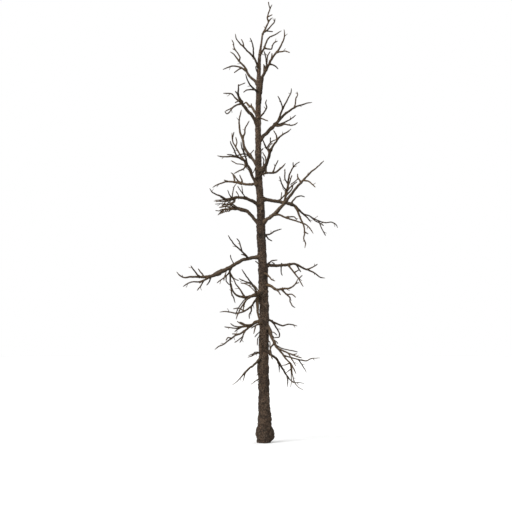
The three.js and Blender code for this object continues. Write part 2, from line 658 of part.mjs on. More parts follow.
// Of a solid that a cut leaves in pieces, the largest.
function largest(solid) {
  return solid.decompose().reduce((most, piece) => (piece.volume() > most.volume() ? piece : most));
}

function meshOf(name, solid, colour) {
  const mesh = solid.getMesh();
  const geometry = new THREE.BufferGeometry();
  geometry.setAttribute("position", new THREE.BufferAttribute(new Float32Array(mesh.vertProperties), 3));
  geometry.setIndex(new THREE.BufferAttribute(new Uint32Array(mesh.triVerts), 1));
  geometry.computeVertexNormals();
  const material = new THREE.MeshStandardMaterial({ color: colour, roughness: 0.92, metalness: 0 });
  const result = new THREE.Mesh(geometry, material);
  result.name = name;
  return result;
}

// ---------------------------------------------------------------- the tree

const TRUNK_COLOUR = "#4a4037";
const BOUGH_COLOUR = "#463c33";
const TWIG_COLOUR = "#51463b";

const trunkLine = [];
for (let i = 0; i <= TRUNK_RINGS; i += 1) {
  trunkLine.push(trunkHeight * i / TRUNK_RINGS);
}
grown.push({ points: trunkLine.map(trunkCentre), radii: trunkLine.map(trunkRadius) });

const placedBoughs = {};
for (const limb of BOUGHS) {
  placedBoughs[limb.name] = layOut(limb, placedBoughs);
}
const placedMasses = TWIG_MASSES.map((limb) => layOut(limb, placedBoughs));
placedMasses.forEach(layOutForks);
placedMasses.forEach((mass, i) => sprout(mass, seeded(FIRST_SEED + SEED_STEP * i)));

// What carries a limb, made a seat's gap thicker, so that cutting it away leaves that gap.
const thickTrunk = trunkSolid(SEAT_GAP);
const thickParent = (limb) => (limb.parent === "trunk"
  ? thickTrunk
  : limbSolid(placedBoughs[limb.parent], SEAT_GAP));
const seated = (limb, solid) => (limb.direction ? solid : largest(solid.subtract(thickParent(limb))));

const tree = new THREE.Group();
tree.add(meshOf("trunk", trunkSolid(0), TRUNK_COLOUR));
for (const limb of Object.values(placedBoughs)) {
  tree.add(meshOf(limb.name, seated(limb, limbSolid(limb, 0)), BOUGH_COLOUR));
}
for (const mass of placedMasses) {
  const solid = tubesOf(mass).reduce((whole, piece) => whole.add(piece));
  tree.add(meshOf(mass.name, seated(mass, largest(solid)), TWIG_COLOUR));
}

export default tree;
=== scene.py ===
"""A dead conifer, standing bare: a slender trunk, its boughs, and the dead twigs they end in.

Metres, +Z up. The origin is the middle of the flat cut at ground level. X runs across the crown
and Y through it, so a limb's heading is told in the XZ plane (0 right, 90 up, 180 left, 270 down)
and its depth is how far it swings back (+) or forward (-).
"""

import json
import math
from dataclasses import dataclass, field

import bmesh
import bpy
import numpy as np
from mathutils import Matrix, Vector, noise

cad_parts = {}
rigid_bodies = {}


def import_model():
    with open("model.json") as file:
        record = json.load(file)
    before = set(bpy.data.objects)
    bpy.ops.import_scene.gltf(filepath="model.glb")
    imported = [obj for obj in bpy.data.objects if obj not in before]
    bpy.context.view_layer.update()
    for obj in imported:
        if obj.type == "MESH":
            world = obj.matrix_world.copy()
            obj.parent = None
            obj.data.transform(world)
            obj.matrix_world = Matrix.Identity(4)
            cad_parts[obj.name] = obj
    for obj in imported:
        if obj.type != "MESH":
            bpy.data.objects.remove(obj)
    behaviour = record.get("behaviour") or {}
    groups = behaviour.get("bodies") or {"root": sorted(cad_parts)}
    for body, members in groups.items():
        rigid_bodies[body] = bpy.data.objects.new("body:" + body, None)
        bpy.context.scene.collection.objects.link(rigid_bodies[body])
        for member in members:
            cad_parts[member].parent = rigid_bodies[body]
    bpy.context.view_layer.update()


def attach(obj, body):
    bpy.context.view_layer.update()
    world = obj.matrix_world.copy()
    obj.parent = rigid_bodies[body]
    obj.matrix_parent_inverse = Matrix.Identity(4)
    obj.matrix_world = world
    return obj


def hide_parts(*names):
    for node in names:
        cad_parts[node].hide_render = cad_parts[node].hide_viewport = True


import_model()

PATTERN_SEED = 7
noise.seed_set(PATTERN_SEED)     # it fixes the gnarls and the swells, the same in every run

# ---------------------------------------------------------------- driving dimensions

MM = 0.001
SEAT_GAP = 0.35 * MM      # each limb stands this far off the limb that carries it
CLEARANCE = 5 * MM        # and this far at least off every other limb

# The trunk: height, lean to the right, and radius.
TRUNK = [
    [0.0, 0.0, 0.17], [0.35, 0.006, 0.17], [0.7, 0.014, 0.17], [1.0, 0.004, 0.152],
    [1.5, -0.002, 0.145], [2.0, -0.01, 0.141], [2.6, -0.006, 0.133], [3.1, 0.006, 0.13],
    [3.6, 0.01, 0.123], [4.1, -0.018, 0.122], [4.8, -0.028, 0.121], [5.3, -0.055, 0.111],
    [6.0, -0.08, 0.106], [6.5, -0.088, 0.1], [7.0, -0.13, 0.093], [7.5, -0.152, 0.087],
    [8.2, -0.161, 0.079], [8.8, -0.161, 0.075], [9.3, -0.158, 0.066], [9.7, -0.152, 0.058],
    [10.2, -0.14, 0.052], [10.5, -0.13, 0.042], [10.7, -0.115, 0.034], [11.0, -0.07, 0.024],
    [11.22, -0.045, 0.017],
]
TRUNK_HEIGHT = TRUNK[-1][0]
TRUNK_SWAY = 0.03         # the slow bend through the crown's depth
SWAY_RATE = 0.8           # radians of it for each metre of height
SWAY_START = 3            # the height up to which it builds
TRUNK_STEPS = 32          # pieces of the trunk that other limbs keep clear of

# The roots' shoulders round the foot: bearing in degrees, swell, height of the swell.
ROOT_SHOULDERS = [
    (2, 0.125, 0.13), (62, 0.085, 0.1), (118, 0.07, 0.16), (186, 0.075, 0.22),
    (236, 0.06, 0.12), (278, 0.11, 0.07), (330, 0.06, 0.16),
]
SHOULDER_WIDTH = 24       # degrees
SHOULDER_RISE = 0.26      # how far up a shoulder runs out
SHOULDER_TUCK = 0.13      # and how fast it draws in below, towards the cut
SHOULDER_TOP = 1.2        # above this height nothing is left of them

# Thickness of the limbs.
BARK = 8.5 * MM           # added all round to the radii in the tables of limbs
COLLAR = 1.3              # a limb's swelling where it leaves the trunk
TIP_RADIUS = 10 * MM
FORK_RADIUS = 16.5 * MM   # a fork's radius where it leaves, plus
FORK_RADIUS_PER_METRE = 9 * MM    # this much for each metre that it reaches
FORK_SHARE = 0.85         # and never more than this share of its parent

# A limb's depth wanders a little from step to step, and a limb that would touch another
# or leave the crown is swung shallower or deeper until it is clear.
WANDER = [0, 8, -6, 5, -8, 6]
SWINGS = [0, -12, 12, -24, 24, -36, 36, -48, 48, -60, 60, -72, 72, -84, -96, -108, -120]
DEEPEST = 74

# The foot of a limb lies in what carries it, so it needs no room for this many radii.
FOOT_IN_TRUNK = 1.25
FOOT_IN_LIMB = 2.2
FOOT_ON_TIP = 3

# How far the crown reaches forward and back at a height.
CROWN_DEPTH = [
    [1.4, 1.0], [3.0, 1.45], [5.0, 1.6], [7.0, 1.55], [9.0, 1.25], [10.5, 0.95], [12.1, 0.4],
]

# Park and Miller's random numbers.
DRAW_FACTOR = 16807
DRAW_RANGE = 2147483647
PARALLEL = 1e-21          # under this, two straight pieces count as parallel


@dataclass
class Growth:
    """One generation of seeded twigs along the limbs."""
    spacing: float        # of limb for each twig
    stretch: tuple        # the share of a limb that bears them
    scatter: tuple        # where each one stands within its own spacing
    reach: tuple          # shortest and longest
    spread: tuple         # degrees off the limb
    depth: float          # most that one swings forward or back, in degrees
    bend: float           # most that one bends half-way, in degrees
    radius: float
    tip_radius: float
    clearance: float
    first_seed: int
    seed_step: int = 7919     # from one mass to the next


TWIGS = Growth(spacing=0.65, stretch=(0.12, 0.98), scatter=(0.1, 0.9), reach=(0.05, 0.13),
               spread=(35, 68), depth=55, bend=24, radius=8 * MM, tip_radius=6.5 * MM,
               clearance=CLEARANCE, first_seed=1009)
TWIGLETS = Growth(spacing=0.8, stretch=(0.15, 0.97), scatter=(0.05, 0.95), reach=(0.02, 0.05),
                  spread=(32, 75), depth=65, bend=35, radius=4.5 * MM, tip_radius=2.5 * MM,
                  clearance=1.5 * MM, first_seed=2003)

# ---------------------------------------------------------------- the limbs

# bough(name, parent, place, reach, headings, depth, radius, tip radius)
# twigs(name, parent, place, reach, headings, depth, radius, forks)
# snags_on(parent, snag, snag, ...)
# A fork is (place, reach, headings, depth) or the same with a list of its own forks at the end,
# and a snag is (place, reach, headings, depth, radius).
#
# A place on the trunk is a height; a place on a limb is a share of its length, and 1 is its tip.
# The reach is as it shows in the XZ plane, and is shared out evenly among the headings.
# Radii are in millimetres.
# The order of the rows counts: each limb keeps clear of those before it.


@dataclass
class Limb:
    """A limb as its table gives it, and where it then runs."""
    place: float
    reach: float
    headings: list
    depth: float
    forks: list = field(default_factory=list)
    name: str = ""
    parent: str = ""
    radius: float = 0.0
    tip_radius: float = TIP_RADIUS
    points: np.ndarray = None
    radii: np.ndarray = None
    branches: list = field(default_factory=list)     # its forks, once they are laid out
    twigs: list = field(default_factory=list)        # what has sprouted on it
    number: int = 0


def bough(name, parent, place, reach, headings, depth, radius, tip_radius):
    return Limb(place, reach, headings, depth, [], name, parent,
                radius * MM + BARK, tip_radius * MM + BARK)


def twigs(name, parent, place, reach, headings, depth, radius, forks):
    return Limb(place, reach, headings, depth, [fork(*row) for row in forks], name, parent,
                radius * MM + BARK)


def fork(place, reach, headings, depth, forks=()):
    return Limb(place, reach, headings, depth, [fork(*row) for row in forks])


def snags_on(parent, *rows):
    return [Limb(*row[:4], [], "", parent, row[4] * MM) for row in rows]


BOUGHS = [
    bough("right_leader_bough", "trunk", 9.3, 0.95, [77, 81, 84, 83, 78, 62], -24, 32, 27),
    bough("high_left_bough", "trunk", 9.82, 0.55, [125, 128, 146, 124, 119], 35, 25, 20),
    bough("crook_left_bough", "trunk", 8.71, 0.77, [120, 116, 131, 138, 124, 128], -35, 34, 28),
    bough("high_right_bough", "trunk", 8.3, 0.64, [46, 41, 45, 46], 28, 38, 32),
    bough("upright_left_bough", "trunk", 7.6, 0.93, [130, 123, 129, 128, 119, 105, 95], 40, 28, 21),
    bough("knot_right_bough", "trunk", 7.45, 0.68, [34, 54, 68, 71, 74], -38, 35, 26),
    bough("level_left_bough", "trunk", 7.12, 0.48, [180, 185, 182, 165], 30, 25, 19),
    bough("fan_left_bough", "trunk", 7.02, 0.73, [128, 117, 113, 113, 120], -28, 29, 24),
    bough("level_right_bough", "trunk", 6.7, 0.85, [0, -11, -11, -9, -8, -14], 10, 38, 29),
    bough("thick_left_bough", "trunk", 6.5, 0.46, [142, 152, 153, 153], -38, 38, 30),
    bough("rising_left_bough", "trunk", 5.98, 0.86, [139, 132, 131, 140, 164, 168], 18, 36, 26),
    bough("rising_right_bough", "trunk", 6.0, 0.95, [41, 42, 36, 38, 49, 45, 52], -28, 38, 30),
    bough("rising_right_upper_bough", "rising_right_bough", 1, 0.64,
          [55, 49, 57, 48, 47], -20, 27, 18),
    bough("long_left_bough", "trunk", 5.13, 1.54,
          [187, 191, 192, 205, 208, 211, 206, 206, 205], -8, 36, 31),
    bough("low_right_bough", "trunk", 4.88, 0.73, [0, -2, 4, 4], 25, 32, 25),
    bough("front_left_bough", "trunk", 4.22, 0.24, [214, 213], -50, 42, 36),
    bough("drooping_right_bough", "trunk", 3.33, 0.63, [-50, -60, -76, -74, -58], -22, 28, 23),
    bough("lowest_right_bough", "trunk", 2.59, 0.58, [-40, -44, -33, -60], 30, 24, 18),
    bough("lowest_left_bough", "trunk", 2.42, 0.68, [223, 226, 221, 214, 224], -40, 21, 13),
]

# The long left bough is swollen towards its end: place, and extra radius.
SWELLINGS = {"long_left_bough": (0.79, 0.016)}
SWELLING_LENGTH = 0.12     # share of the bough

TWIG_MASSES = [
    twigs("leader_tip_twigs", "trunk", 11.22, 0.9, [63, 64, 66, 68, 108, 80, 70, 71, 64], 8, 14, [
        (0.09, 0.49, [22, 50, 45, 50, 75], -30, [(0.14, 0.19, [-6], 20)]),
        (0.45, 0.14, [47], 30),
        (0.6, 0.14, [21], -40),
        (0.87, 0.19, [110, 98], -15),
    ]),
    twigs("top_right_twigs", "trunk", 10.66, 0.97, [54, 63, 73, 67, 48, 24, 32, 37], 30, 16, [
        (0.25, 0.5, [-14, -5, 75, 55, 25], -10),
    ]),
    twigs("top_left_twigs", "trunk", 10.3, 1.14,
          [117, 114, 132, 137, 135, 138, 128, 104], -30, 18, [
        (0.29, 0.51, [90, 92, 106, 113], -48),
        (0.63, 0.225, [96, 118], 10),
    ]),
    twigs("right_leader_twigs", "right_leader_bough", 1, 1.26,
          [62, 63, 57, 50, 60, 66, 76, 96], -14, 24, [
        (0.08, 0.47, [92, 98, 106], -38, [(0.3, 0.35, [82, 78, 55], -58)]),
        (0.18, 0.29, [-10, -22, -48], 35),
        (0.3, 0.17, [86], 40),
        (0.465, 0.38, [9, 4, -22], -40),
    ]),
    twigs("high_left_twigs", "high_left_bough", 1, 0.71, [114, 133, 132, 127, 128, 145], 30, 19, [
        (0.05, 0.71, [146, 158, 177, 196, 202], 10, [(0.24, 0.25, [213, 216], -20)]),
        (0.52, 0.66, [75, 117, 127, 118, 95, 118], 52, [(0.53, 0.09, [153], 20)]),
    ]),
    twigs("high_left_small_twigs", "trunk", 9.66, 0.6, [155, 138, 125, 115, 108], -60, 15, [
        (0.2, 0.33, [184, 190, 218], -40),
    ]),
    twigs("crook_left_twigs", "crook_left_bough", 1, 0.52, [117, 111, 97, 84, 88], -30, 26, [
        (0.07, 0.61, [206, 202, 214, 228, 240, 212, 130], -50, [(0.33, 0.31, [212, 205], -20)]),
        (0.08, 0.6, [142, 140, 133, 170, 180], -8),
        (0.24, 0.17, [208], 20),
        (0.48, 0.13, [129], -55),
        (0.93, 0.2, [20], -30),
    ]),
    twigs("short_left_twigs", "trunk", 8.97, 0.64, [128, 121, 118, 146, 132, 205], 60, 14, [
        (0.52, 0.1, [100], 40),
    ]),
    twigs("short_right_twigs", "trunk", 8.92, 0.58, [38, 46, 57, 68, 108, 75], -60, 13, [
        (0.06, 0.27, [-20, -25], -45),
    ]),
    twigs("high_right_twigs", "high_right_bough", 1, 1.27,
          [48, 48, 46, 34, 36, 29, 14, 22, 10], 25, 29, [
        (0.04, 0.67, [-22, 10, 22, -14, -8, 14, 33], -25),
        (0.05, 0.66, [8, 20, 27, 34, 38], 52),
        (0.16, 0.96, [75, 69, 66, 60, 64, 62, 84], -12, [(0.36, 0.37, [107, 118], -40)]),
        (0.6, 0.475, [78, 82, 80, 62, 100], 45),
    ]),
    twigs("upright_left_twigs", "upright_left_bough", 1, 0.83, [118, 99, 94, 91, 75, 78], 28, 19, [
        (0.08, 0.53, [62, 88, 62, 62], 52),
    ]),
    twigs("knot_right_twigs", "knot_right_bough", 1, 0.83, [64, 54, 52, 42, 28, 40], -30, 22, [
        (0.06, 0.36, [158, 120, 112], -55, [
            (0.35, 0.4, [58, 40, 18], -62, [(0.45, 0.15, [90], -30)]),
        ]),
        (0.44, 0.28, [101, 122], -10),
    ]),
    twigs("knot_right_low_twigs", "trunk", 7.36, 0.86, [20, 12, -2, 12, 40, 40, 52], 42, 20, [
        (0.24, 0.62, [88, 92, 98, 120], 60),
        (0.46, 0.39, [70, 64], 20),
    ]),
    twigs("level_left_twigs", "level_left_bough", 1, 0.86,
          [169, 169, 180, 197, 199, 211], 28, 19, [
        (0.05, 0.26, [84, 115, 108], 10),
        (0.04, 0.45, [145, 132, 122, 140], 50),
        (0.26, 0.26, [101, 108], 30),
        (0.48, 0.12, [158], 0),
    ]),
    twigs("fan_left_twigs", "fan_left_bough", 1, 0.88,
          [126, 150, 164, 176, 188, 176, 170], -25, 22, [
        (0.05, 0.62, [94, 112, 112, 98], -50, [(0.45, 0.49, [190, 200, 165, 176], -50)]),
        (0.08, 0.47, [250, 205, 207], -5),
        (0.2, 0.83, [122, 120, 121, 119, 100, 94], -8, [
            (0.5, 0.28, [76, 103], 20),
            (0.78, 0.2, [76], -40),
        ]),
        (0.37, 0.48, [125, 110, 120, 112], -55),
    ]),
    twigs("level_right_inner_twigs", "level_right_bough", 0.55, 0.45, [32, 50, 84], 45, 12, []),
    twigs("level_right_twigs", "level_right_bough", 1, 0.77,
          [-28, -42, -41, -42, -46, -50], 20, 27, [
        (0.06, 0.5, [55, 45, 18, -18], 45),
        (0.22, 1.22, [-64, -69, -66, -64, -76, -90, -100, -68, -100], -12, [
            (0.62, 0.12, [-30], -30),
        ]),
        (0.64, 1.07, [-11, -32, -25, -22, -10, 6, -20, -55], 38, [
            (0.2, 0.43, [-45, -25, -34], 10),
            (0.42, 0.47, [-67, -61], 55),
        ]),
    ]),
    twigs("thick_left_twigs", "thick_left_bough", 1, 1.11,
          [172, 180, 194, 186, 148, 160, 152, 124], -30, 28, [
        (0.05, 0.4, [124, 126, 120], -58, [(0.35, 0.23, [98], -30)]),
        (0.27, 0.62, [212, 190, 172, 180, 184], -55, [
            (0.5, 0.17, [150], -40),
            (0.62, 0.2, [196], -30),
        ]),
        (0.285, 0.56, [236, 214, 200, 190], 10, [
            (0.35, 0.29, [247, 232], -20),
            (0.62, 0.315, [242, 221], 30),
        ]),
        (0.36, 0.55, [205, 180, 176], -40),
        (0.37, 0.27, [122, 112], -50),
        (0.38, 0.45, [79, 79, 78, 50], -8),
    ]),
    twigs("rising_left_twigs", "rising_left_bough", 1, 0.58, [184, 186, 188, 218, 228], 22, 24, [
        (0.07, 0.27, [131, 132], 40),
        (0.11, 0.6, [145, 165, 178, 182], -20),
        (0.14, 0.455, [160, 180, 192], 48),
        (0.5, 0.12, [238, 230], 0),
        (0.58, 0.19, [180, 220], -10),
    ]),
    twigs("rising_right_twigs", "rising_right_upper_bough", 1, 0.87,
          [48, 47, 46, 35, 44, 45], -24, 17, [
        (0.06, 0.27, [125, 118, 92], 10, [(0.5, 0.27, [221, 217], 30)]),
        (0.15, 0.39, [-12, -38, -45], -48),
    ]),
    twigs("rising_right_upright_twigs", "rising_right_bough", 0.88, 1.29,
          [76, 77, 80, 84, 80, 64, 58, 32], -48, 19, [
        (0.2, 0.36, [40, 55, 72], -20),
        (0.29, 0.38, [48, 40, 36], -30),
        (0.3, 0.44, [137, 113, 107], -62),
        (0.36, 0.36, [70, 72], -30),
        (0.45, 0.43, [125, 92, 90], -25),
        (0.82, 0.13, [95], -50),
    ]),
    twigs("rising_right_lower_twigs", "rising_right_bough", 0.45, 1.24,
          [0, -22, -20, -16, -20, -22, -44, -58], -46, 16, [
        (0.28, 0.35, [8, 0, -45], -62),
    ]),
    twigs("mid_right_small_twigs", "trunk", 5.7, 0.6, [9, 8, 32, 22, 14], 62, 14, [
        (0.2, 0.26, [-58, -30], 35),
    ]),
    twigs("long_left_twigs", "long_left_bough", 1, 1.0,
          [186, 180, 178, 182, 188, 158, 134], 12, 28, [
        (0.05, 0.28, [258, 235], 45),
        (0.08, 0.78, [212, 200, 178, 196, 214], -28, [
            (0.12, 0.23, [209], -50),
            (0.24, 0.34, [243, 231], 20),
        ]),
        (0.22, 0.28, [125, 130], 45),
        (0.32, 0.41, [137, 128, 126, 125], -30),
    ]),
    twigs("long_left_upper_twigs", "long_left_bough", 0.25, 0.86,
          [128, 134, 138, 137, 122, 121], -45, 14, [
        (0.1, 0.16, [158], -20),
        (0.32, 0.39, [101, 107, 125], -20),
    ]),
    twigs("long_left_hanging_twigs", "long_left_bough", 0.62, 1.02,
          [270, 273, 271, 277, 277, 292, 286], 35, 15, [
        (0.13, 0.48, [225, 219, 217], 50, [(0.3, 0.3, [270, 310], 20)]),
        (0.2, 0.24, [-51, -63], 15),
    ]),
    twigs("low_right_twigs", "low_right_bough", 1, 1.11,
          [10, -23, -31, -20, -24, -31, -39, -10], 22, 21, [
        (0.22, 0.25, [-61, -56], 45),
        (0.5, 0.34, [21, 33], -10),
    ]),
    twigs("low_right_falling_twigs", "low_right_bough", 0.95, 0.74,
          [-52, -51, -51, -55, -62, -58], -20, 13, [
        (0.38, 0.16, [35], -40),
        (0.66, 0.14, [42], 0),
    ]),
    twigs("low_right_small_twigs", "trunk", 4.66, 0.4, [-5, -45, -48, -20], -62, 17, []),
    twigs("front_left_twigs", "front_left_bough", 1, 0.92,
          [198, 194, 178, 172, 155, 130, 108, 95], -22, 33, [
        (0.06, 0.84, [88, 122, 124, 124, 123, 122], -45, [
            (0.17, 0.34, [123, 143], -62),
            (0.42, 0.38, [163, 153], -30),
        ]),
        (0.2, 0.74, [218, 230, 236, 240, 243, 254], -40, [(0.33, 0.24, [262], -10)]),
        (0.38, 0.58, [119, 124, 128, 112], 5),
    ]),
    twigs("front_left_hanging_twigs", "trunk", 4.14, 0.9,
          [202, 262, 270, 272, 278, 285], -30, 28, [
        (0.28, 1.22, [228, 238, 220, 210, 200, 180, 169, 175, 187], 20, [
            (0.24, 0.36, [272, 240, 275], -10),
            (0.43, 0.33, [152, 190], 45),
        ]),
    ]),
    twigs("front_right_twigs", "trunk", 4.37, 1.12,
          [-12, -20, -36, 4, 8, 6, 28, 52, 68], -35, 31, [
        (0.3, 0.23, [-32, -54], -60),
        (0.48, 0.66, [-52, -41, -45, -88, -62, -38], -10, [(0.3, 0.28, [3, -37], -45)]),
        (0.86, 0.1, [20], -50),
    ]),
    twigs("low_left_twigs", "trunk", 3.34, 0.92, [180, 196, 220, 194, 188, 208, 220], 30, 34, [
        (0.4, 1.24, [218, 218, 210, 202, 217, 216, 218, 202, 219], 8, [
            (0.2, 0.37, [246, 253, 238], -25, [(0.5, 0.27, [214, 215], -45)]),
            (0.35, 0.2, [180], 40),
            (0.55, 0.2, [166, 235], -25),
        ]),
        (0.56, 0.31, [162, 152], 52),
        (0.68, 0.38, [180, 172, 142], 10),
        (0.8, 0.42, [180, 172, 172], 50),
    ]),
    twigs("low_left_small_twigs", "trunk", 3.27, 0.46, [175, 198, 250, 256], -55, 15, []),
    twigs("low_right_back_twigs", "trunk", 3.4, 0.98, [-9, -32, -27, -20, 14, -8, -18], 48, 20, [
        (0.22, 0.62, [-52, -58, -60, -64, -98, -178], 30),
    ]),
    twigs("drooping_right_twigs", "drooping_right_bough", 1, 1.04,
          [-62, -48, -50, -57, -43, -50, -62, -66], -25, 20, [
        (0.05, 0.48, [222, 250, 285, 292], -48),
        (0.22, 0.67, [-20, -22, -18, -20, -12], -52, [
            (0.45, 0.39, [-61, -58, -60], -60),
            (0.62, 0.13, [18], -30),
        ]),
        (0.44, 1.04, [-12, -18, -16, -12, -6, 24, 8, -2], 8, [(0.4, 0.44, [-55, -60, -60], 35)]),
        (0.68, 0.26, [200, 186], -50),
        (0.7, 0.66, [-86, -88, -88, -99], 5),
        (0.74, 0.82, [-88, -82, -76, -66, -45, -28], -40, [(0.12, 0.2, [217], -15)]),
    ]),
    twigs("base_left_small_twigs", "trunk", 2.5, 0.5, [193, 205, 214, 207], 60, 14, []),
    twigs("lowest_right_twigs", "lowest_right_bough", 1, 1.02,
          [-56, -61, -59, -52, -35, -4, -14], 32, 18, [
        (0.06, 0.3, [-86, -90], 50),
        (0.48, 0.3, [-88, -92], 10),
    ]),
    twigs("lowest_left_twigs", "lowest_left_bough", 1, 0.47, [225, 230, 220, 215], -35, 13, [
        (0.08, 0.26, [257], -50),
    ]),
    twigs("lowest_left_back_twigs", "trunk", 1.86, 0.47, [221, 221, 219], 56, 11, []),
]

# Twigs and snags too small for a node of their own: each is part of the piece that bears it.
SNAGS = [
    *snags_on("trunk",
              (1.98, 0.24, [200, 225], -30, 9), (2.3, 0.55, [195, 255, 268, 276], -30, 9),
              (2.5, 0.38, [180, 182, 228], -40, 9), (2.98, 0.4, [190, 225, 262, 266], -40, 9),
              (3.11, 0.34, [200, 222, 228], -30, 11), (3.1, 0.34, [-20, -38, -50], -40, 9),
              (2.43, 0.44, [165, 185, 200], -45, 7), (2.8, 0.48, [-5, -88, -72], -40, 10)),
    *snags_on("drooping_right_bough", (0.5, 0.22, [-15, -45], 20, 8)),
    *snags_on("trunk",
              (3.31, 0.4, [196, 202, 212], -20, 22), (4.83, 0.28, [150, 128, 140], -45, 10),
              (7.44, 0.21, [-20, -30, -62], -50, 15), (8.03, 0.17, [10, 20, 60], -20, 12),
              (10.06, 0.15, [-10, 30], -25, 10), (10.17, 0.22, [140, 108, 100], -20, 14)),
    *snags_on("right_leader_bough", (0.97, 0.17, [95], -24, 14)),
    *snags_on("low_right_bough",
              (0.19, 0.33, [60, 40, 12, 6], -30, 20), (0.45, 0.13, [110, 155], -30, 10),
              (0.71, 0.3, [262, 275, 288], 20, 13), (0.71, 0.07, [90, 80], -10, 10)),
    *snags_on("long_left_bough",
              (0.53, 0.3, [118, 112, 100], -20, 9), (0.56, 0.24, [250, 232], 30, 8),
              (0.68, 0.33, [258, 250, 262], -25, 9)),
    *snags_on("upright_left_bough",
              (0.4, 0.26, [185, 190], -30, 10), (0.43, 0.34, [172, 150, 100, 95], -20, 17),
              (0.45, 0.18, [42, 50], 10, 9)),
    *snags_on("fan_left_bough", (0.6, 0.22, [38, 62, 75], -10, 8)),
    *snags_on("knot_right_bough",
              (0.3, 0.3, [100, 84, 118], -30, 15), (0.72, 0.52, [92, 118, 112], 20, 15),
              (0.95, 0.3, [112, 70, 40], 30, 11)),
    *snags_on("fan_left_bough",
              (0.35, 0.3, [48, 20, 60], 15, 10), (0.88, 0.52, [158, 172, 150], 20, 12),
              (0.72, 0.3, [150, 118, 100], 25, 9)),
    *snags_on("upright_left_bough", (0.3, 0.24, [165, 120, 95], -30, 11)),
    *snags_on("rising_right_bough",
              (0.3, 0.1, [80, 60], 10, 8), (0.58, 0.1, [-70, -100], 10, 9)),
    *snags_on("level_right_bough", (0.72, 0.3, [110, 78, 84], 15, 8)),
    *snags_on("lowest_right_bough", (0.35, 0.07, [-85, -95], -10, 8)),
    *snags_on("drooping_right_bough", (0.85, 0.2, [-30, -48], -15, 9)),
    *snags_on("rising_left_twigs", (0.04, 0.34, [158, 122, 150], -30, 10)),
    *snags_on("rising_left_bough", (0.93, 0.34, [138, 150, 185], -20, 17)),
    *snags_on("thick_left_twigs",
              (0.3, 0.36, [262, 212, 185], -30, 11), (0.4, 0.3, [244, 215, 195], 20, 10)),
    *snags_on("front_left_hanging_twigs", (0.1, 0.66, [124, 136, 172, 182], 30, 10)),
    *snags_on("low_left_twigs",
              (0.22, 0.52, [204, 181, 161], 25, 13), (0.44, 0.34, [176, 150, 160], -25, 11)),
    *snags_on("thick_left_twigs",
              (0.42, 0.3, [206, 185], -50, 10), (0.5, 0.24, [240, 225], 30, 9),
              (0.2, 0.2, [110, 125], 20, 9)),
    *snags_on("rising_left_twigs",
              (0.24, 0.34, [212, 190, 205], 20, 9), (0.3, 0.25, [150, 170], -30, 9),
              (0.7, 0.2, [185, 172], 10, 8)),
    *snags_on("drooping_right_twigs", (0.08, 0.68, [-34, -20, -12, -16], 30, 11)),
    *snags_on("drooping_right_bough", (0.8, 0.2, [8, 4], 30, 8)),
    *snags_on("front_left_twigs",
              (0.02, 0.55, [128, 135, 150, 168], 30, 10),
              (0.31, 0.6, [227, 232, 236, 244, 250], 20, 12)),
    *snags_on("long_left_hanging_twigs", (0.12, 0.36, [-55, -62, -35, -20], -20, 9)),
    *snags_on("right_leader_bough", (0.85, 0.32, [84, 92], 25, 12)),
]

# ---------------------------------------------------------------- small helpers


def along(stations, x, column):
    """The value at x on the straight lines through (x, value) stations."""
    return np.interp(x, [row[0] for row in stations], [row[column] for row in stations])


def seeded(seed):
    """A seeded generator, the same each time."""
    state = seed

    def draw(low, high):
        nonlocal state
        state = state * DRAW_FACTOR % DRAW_RANGE
        return low + (high - low) * state / DRAW_RANGE
    return draw


def unit(vector):
    return vector / np.linalg.norm(vector)


def trunk_radius(height):
    return along(TRUNK, height, 2)


def trunk_centre(height):
    sway = np.sin(height * SWAY_RATE) * TRUNK_SWAY * np.minimum(1, height / SWAY_START)
    return np.stack([along(TRUNK, height, 1), sway, np.asarray(height, float)], axis=-1)


# ---------------------------------------------------------------- where the limbs run


class Room:
    """The straight pieces of every limb placed so far, and how near a new one comes to them."""

    def __init__(self):
        self.starts = np.empty((0, 3))
        self.ends = np.empty((0, 3))
        self.radii = np.empty(0)

    def fill(self, points, radii):
        self.starts = np.vstack([self.starts, points[:-1]])
        self.ends = np.vstack([self.ends, points[1:]])
        self.radii = np.append(self.radii, radii[:-1])

    def beside(self, points, radii, skip):
        """The least gap from a path, past a hidden length at its foot, to all that stands."""
        points, radii = path_beyond(points, radii, skip)
        if len(points) < 2:
            return math.inf
        gaps = piece_gaps(points[:-1, None], points[1:, None], self.starts, self.ends)
        return float((gaps - radii[:-1, None] - self.radii).min())


def piece_gaps(a, b, c, d):
    """The least distances between the straight pieces a-b and c-d."""
    u, v, w = b - a, d - c, a - c
    uu, uv, vv = (u * u).sum(-1), (u * v).sum(-1), (v * v).sum(-1)
    uw, vw = (u * w).sum(-1), (v * w).sum(-1)
    skew = uu * vv - uv * uv
    level = skew < PARALLEL
    s = np.where(level, 0, np.clip((uv * vw - vv * uw) / np.where(level, 1, skew), 0, 1))
    t = np.clip((uv * s + vw) / vv, 0, 1)
    s = np.clip((uv * t - uw) / uu, 0, 1)
    return np.linalg.norm(w + u * s[..., None] - v * t[..., None], axis=-1)


def path_beyond(points, radii, length):
    """The part of a path past a length measured from its root."""
    for i in range(len(points) - 1):
        piece = np.linalg.norm(points[i + 1] - points[i])
        if length < piece:
            start = points[i] + (points[i + 1] - points[i]) * length / piece
            return np.vstack([start, points[i + 1:]]), radii[i:]
        length -= piece
    return points[:0], radii[:0]


def space_round(points, radii, skip):
    """The room that a path has: to the limbs that stand, and to where the crown ends."""
    in_crown = float((along(CROWN_DEPTH, points[:, 2], 1) - abs(points[:, 1])).min())
    return min(room.beside(points, radii, skip), in_crown)


